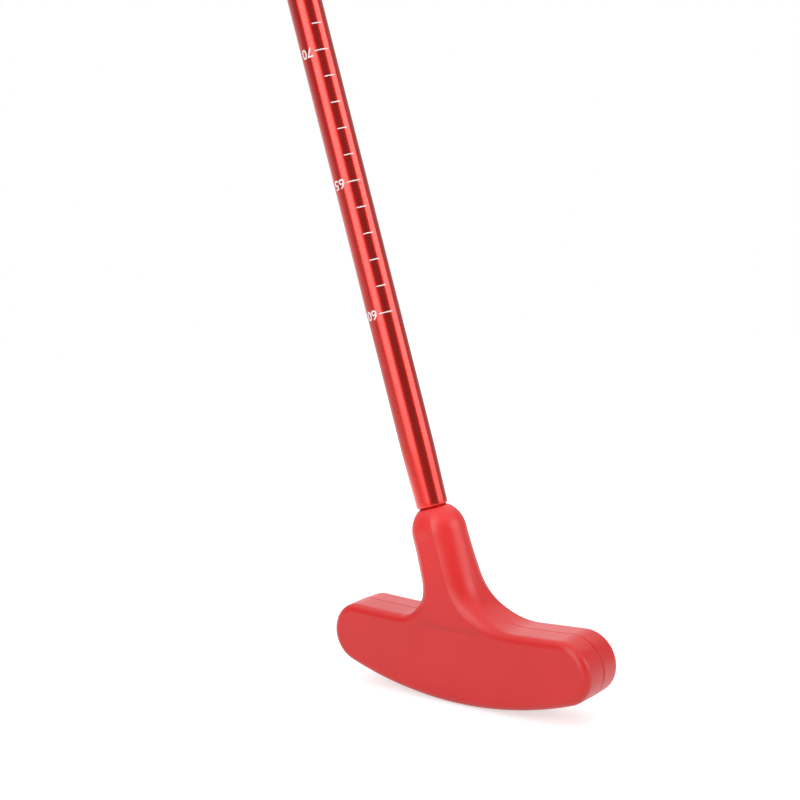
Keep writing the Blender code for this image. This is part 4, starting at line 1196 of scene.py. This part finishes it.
studio = {
    "floorSize": 2.0, "floorGap": 0.0002, "floorWhite": "#CFCFCF", "floorFibre": 300.0, "fibreTone": 0.97,
    # the floor's own glow, and how far from the club it fades in reflections
    "floorGlow": 0.6, "floorFade": (0.24, 0.36),
    # radiance of the dim wall on the camera's side, of the walls to its left and right, of the paper behind
    # the club and of the ceiling, with the angles from the camera at which one goes over into the next
    "wall": 0.23, "leftWall": 0.48, "rightWall": 0.38, "paper": 1.4, "ceiling": 1.25,
    "sideFrom": (70.0, 118.0), "paperFrom": (158.0, 174.0), "ceilingFrom": (34.0, 58.0),
    # the ceiling reaches lower behind the club, by this much in the sine of its height
    "rearDrop": 0.22, "rearFrom": (105.0, 140.0),
    # the glow that the table throws on the walls, to the camera's left, and how high it reaches
    "tableGlow": 0.5, "glowHeight": (12.0, -16.0), "glowFrom": (-20.0, -60.0),
    # soft boxes: where each begins and ends, in degrees round from the camera to its right, each with its
    # softness, then its radiance and the heights between which its foot and its head fade
    "boxes": [
        (-54.0, 5.0, -15.0, 13.0, 3.15, (-15.0, 9.0), (44.0, 72.0)),
        (54.5, 3.0, 94.0, 4.0, 3.4, (-10.0, 22.0), (24.0, 46.0)),
    ],
}


def makeFloor():
    startClean()
    bpy.ops.mesh.primitive_grid_add(x_subdivisions=4, y_subdivisions=4, size=studio["floorSize"])
    floor = newest("floor")
    floor.data.transform(Matrix.Translation((headCentre.x, 0.0, cadBox[0].z - studio["floorGap"])))
    material, tree, places = newMaterial("studioFloor")
    path = addNode(tree, "ShaderNodeLightPath").outputs
    # Reflections show the glow too, and see it fade with the distance from the club.
    offset = addNode(tree, "ShaderNodeMapping", {
        "Vector": places, "Location": (-headCentre.x, 0.0, -headCentre.z)}, "Vector")
    distance = addNode(tree, "ShaderNodeVectorMath", {0: offset}, "Value", operation="LENGTH")
    near, far = studio["floorFade"]
    close = addNode(tree, "ShaderNodeMapRange", {
        "Value": distance, "From Min": near, "From Max": far, "To Min": 1.0, "To Max": 0.0,
    }, "Result", interpolation_type="SMOOTHSTEP")
    reflected = addNode(tree, "ShaderNodeMath", {
        0: path["Is Glossy Ray"], 1: path["Is Transmission Ray"]}, "Value", operation="MAXIMUM")
    reflected = addNode(tree, "ShaderNodeMath", {0: reflected, 1: close}, "Value", operation="MULTIPLY")
    seen = addNode(tree, "ShaderNodeMath", {
        0: path["Is Camera Ray"], 1: reflected}, "Value", operation="MAXIMUM")
    glow = addNode(tree, "ShaderNodeMath", {0: seen, 1: studio["floorGlow"]}, "Value", operation="MULTIPLY")
    fibre = addNode(tree, "ShaderNodeTexNoise", {
        "Vector": places, "Scale": perMillimetre / studio["floorFibre"], "Detail": 2.0}, "Fac")
    share = addNode(tree, "ShaderNodeMapRange", {
        "Value": fibre, "From Min": roughSpread[0], "From Max": roughSpread[1]}, "Result")
    white = linear(studio["floorWhite"])
    dimmer = [channel * studio["fibreTone"] for channel in white[:3]] + [1.0]
    paper = addNode(tree, "ShaderNodeMix", {0: share, 6: dimmer, 7: white}, 2, data_type="RGBA")
    paper = addNode(tree, "ShaderNodeBsdfDiffuse", {"Color": paper}, "BSDF")
    glow = addNode(tree, "ShaderNodeEmission", {"Color": linear("#FFFFFF"), "Strength": glow}, "Emission")
    both = addNode(tree, "ShaderNodeAddShader", {0: paper, 1: glow}, "Shader")
    addNode(tree, "ShaderNodeOutputMaterial", {"Surface": both})
    floor.data.materials.append(material)


def turns(angles):
    return [math.radians(angle) for angle in angles]


def sines(angles):
    return [math.sin(math.radians(angle)) for angle in angles]


def makeRoom():
    # The room by direction: two tall soft boxes either side of the camera, a dim wall between them, white
    # paper behind the club and a light ceiling. The camera sees white paper all round.
    world = bpy.data.worlds.new("studioRoom")
    bpy.context.scene.world = world
    world.use_nodes = True
    tree = world.node_tree
    tree.nodes.clear()
    direction = addNode(tree, "ShaderNodeTexCoord", output="Generated")
    # Turned so that x points to the camera's side.
    turned = addNode(tree, "ShaderNodeMapping", {
        "Vector": direction, "Rotation": (0.0, 0.0, math.pi / 2 - azimuth)}, "Vector")
    axes = addNode(tree, "ShaderNodeSeparateXYZ", {"Vector": turned}).outputs
    climb = axes["Z"]
    heading = addNode(tree, "ShaderNodeMath", {0: axes["Y"], 1: axes["X"]}, "Value", operation="ARCTAN2")
    away = addNode(tree, "ShaderNodeMath", {0: heading}, "Value", operation="ABSOLUTE")

    # Each fade follows one of these, over a span, from one value to another.
    leftFrom = [-angle for angle in studio["sideFrom"]]
    fades = {
        "right": (heading, turns(studio["sideFrom"]), studio["wall"], studio["rightWall"]),
        "left": (heading, turns(leftFrom), 0.0, studio["leftWall"] - studio["wall"]),
        "glow": (climb, sines(studio["glowHeight"]), 0.0, studio["tableGlow"]),
        "glowSide": (heading, turns(studio["glowFrom"]), 0.0, 1.0),
        "paper": (away, turns(studio["paperFrom"]), 0.0, 1.0),
        "rear": (away, turns(studio["rearFrom"]), 0.0, studio["rearDrop"]),
    }
    for index, box in enumerate(studio["boxes"]):
        begin, beginSoft, finish, finishSoft, radiance, foot, top = box
        fades["begin", index] = (heading, turns((begin - beginSoft, begin + beginSoft)), 0.0, 1.0)
        fades["finish", index] = (heading, turns((finish - finishSoft, finish + finishSoft)), 1.0, 0.0)
        fades["top", index] = (climb, sines(top), radiance, 0.0)
        fades["foot", index] = (climb, sines(foot), 0.0, 1.0)
    share = {}
    for name, (value, (low, high), before, after) in fades.items():
        share[name] = addNode(tree, "ShaderNodeMapRange", {
            "Value": value, "From Min": low, "From Max": high, "To Min": before, "To Max": after,
        }, "Result", interpolation_type="SMOOTHSTEP")

    lift = addNode(tree, "ShaderNodeMath", {0: climb, 1: share["rear"]}, "Value", operation="ADD")
    low, high = sines(studio["ceilingFrom"])
    above = addNode(tree, "ShaderNodeMapRange", {
        "Value": lift, "From Min": low, "From Max": high}, "Result", interpolation_type="SMOOTHSTEP")
    glow = addNode(tree, "ShaderNodeMath", {
        0: share["glow"], 1: share["glowSide"]}, "Value", operation="MULTIPLY")
    light = addNode(tree, "ShaderNodeMath", {0: share["right"], 1: share["left"]}, "Value", operation="ADD")
    light = addNode(tree, "ShaderNodeMath", {0: light, 1: glow}, "Value", operation="ADD")
    light = addNode(tree, "ShaderNodeMix", {0: share["paper"], 2: light, 3: studio["paper"]}, 0)
    light = addNode(tree, "ShaderNodeMix", {0: above, 2: light, 3: studio["ceiling"]}, 0)
    for index in range(len(studio["boxes"])):
        height = addNode(tree, "ShaderNodeMath", {
            0: share["top", index], 1: share["foot", index]}, "Value", operation="MULTIPLY")
        width = addNode(tree, "ShaderNodeMath", {
            0: share["begin", index], 1: share["finish", index]}, "Value", operation="MULTIPLY")
        box = addNode(tree, "ShaderNodeMath", {0: width, 1: height}, "Value", operation="MULTIPLY")
        light = addNode(tree, "ShaderNodeMath", {0: light, 1: box}, "Value", operation="ADD")
    camera = addNode(tree, "ShaderNodeLightPath", output="Is Camera Ray")
    seen = addNode(tree, "ShaderNodeMix", {0: camera, 2: light, 3: 1.0}, 0)
    paper = addNode(tree, "ShaderNodeBackground", {
        "Color": linear("#FFFFFF"), "Strength": seen}, "Background")
    addNode(tree, "ShaderNodeOutputWorld", {"Surface": paper})


makeFloor()
makeRoom()
bpy.context.scene.view_settings.view_transform = "Standard"
print("studio set")
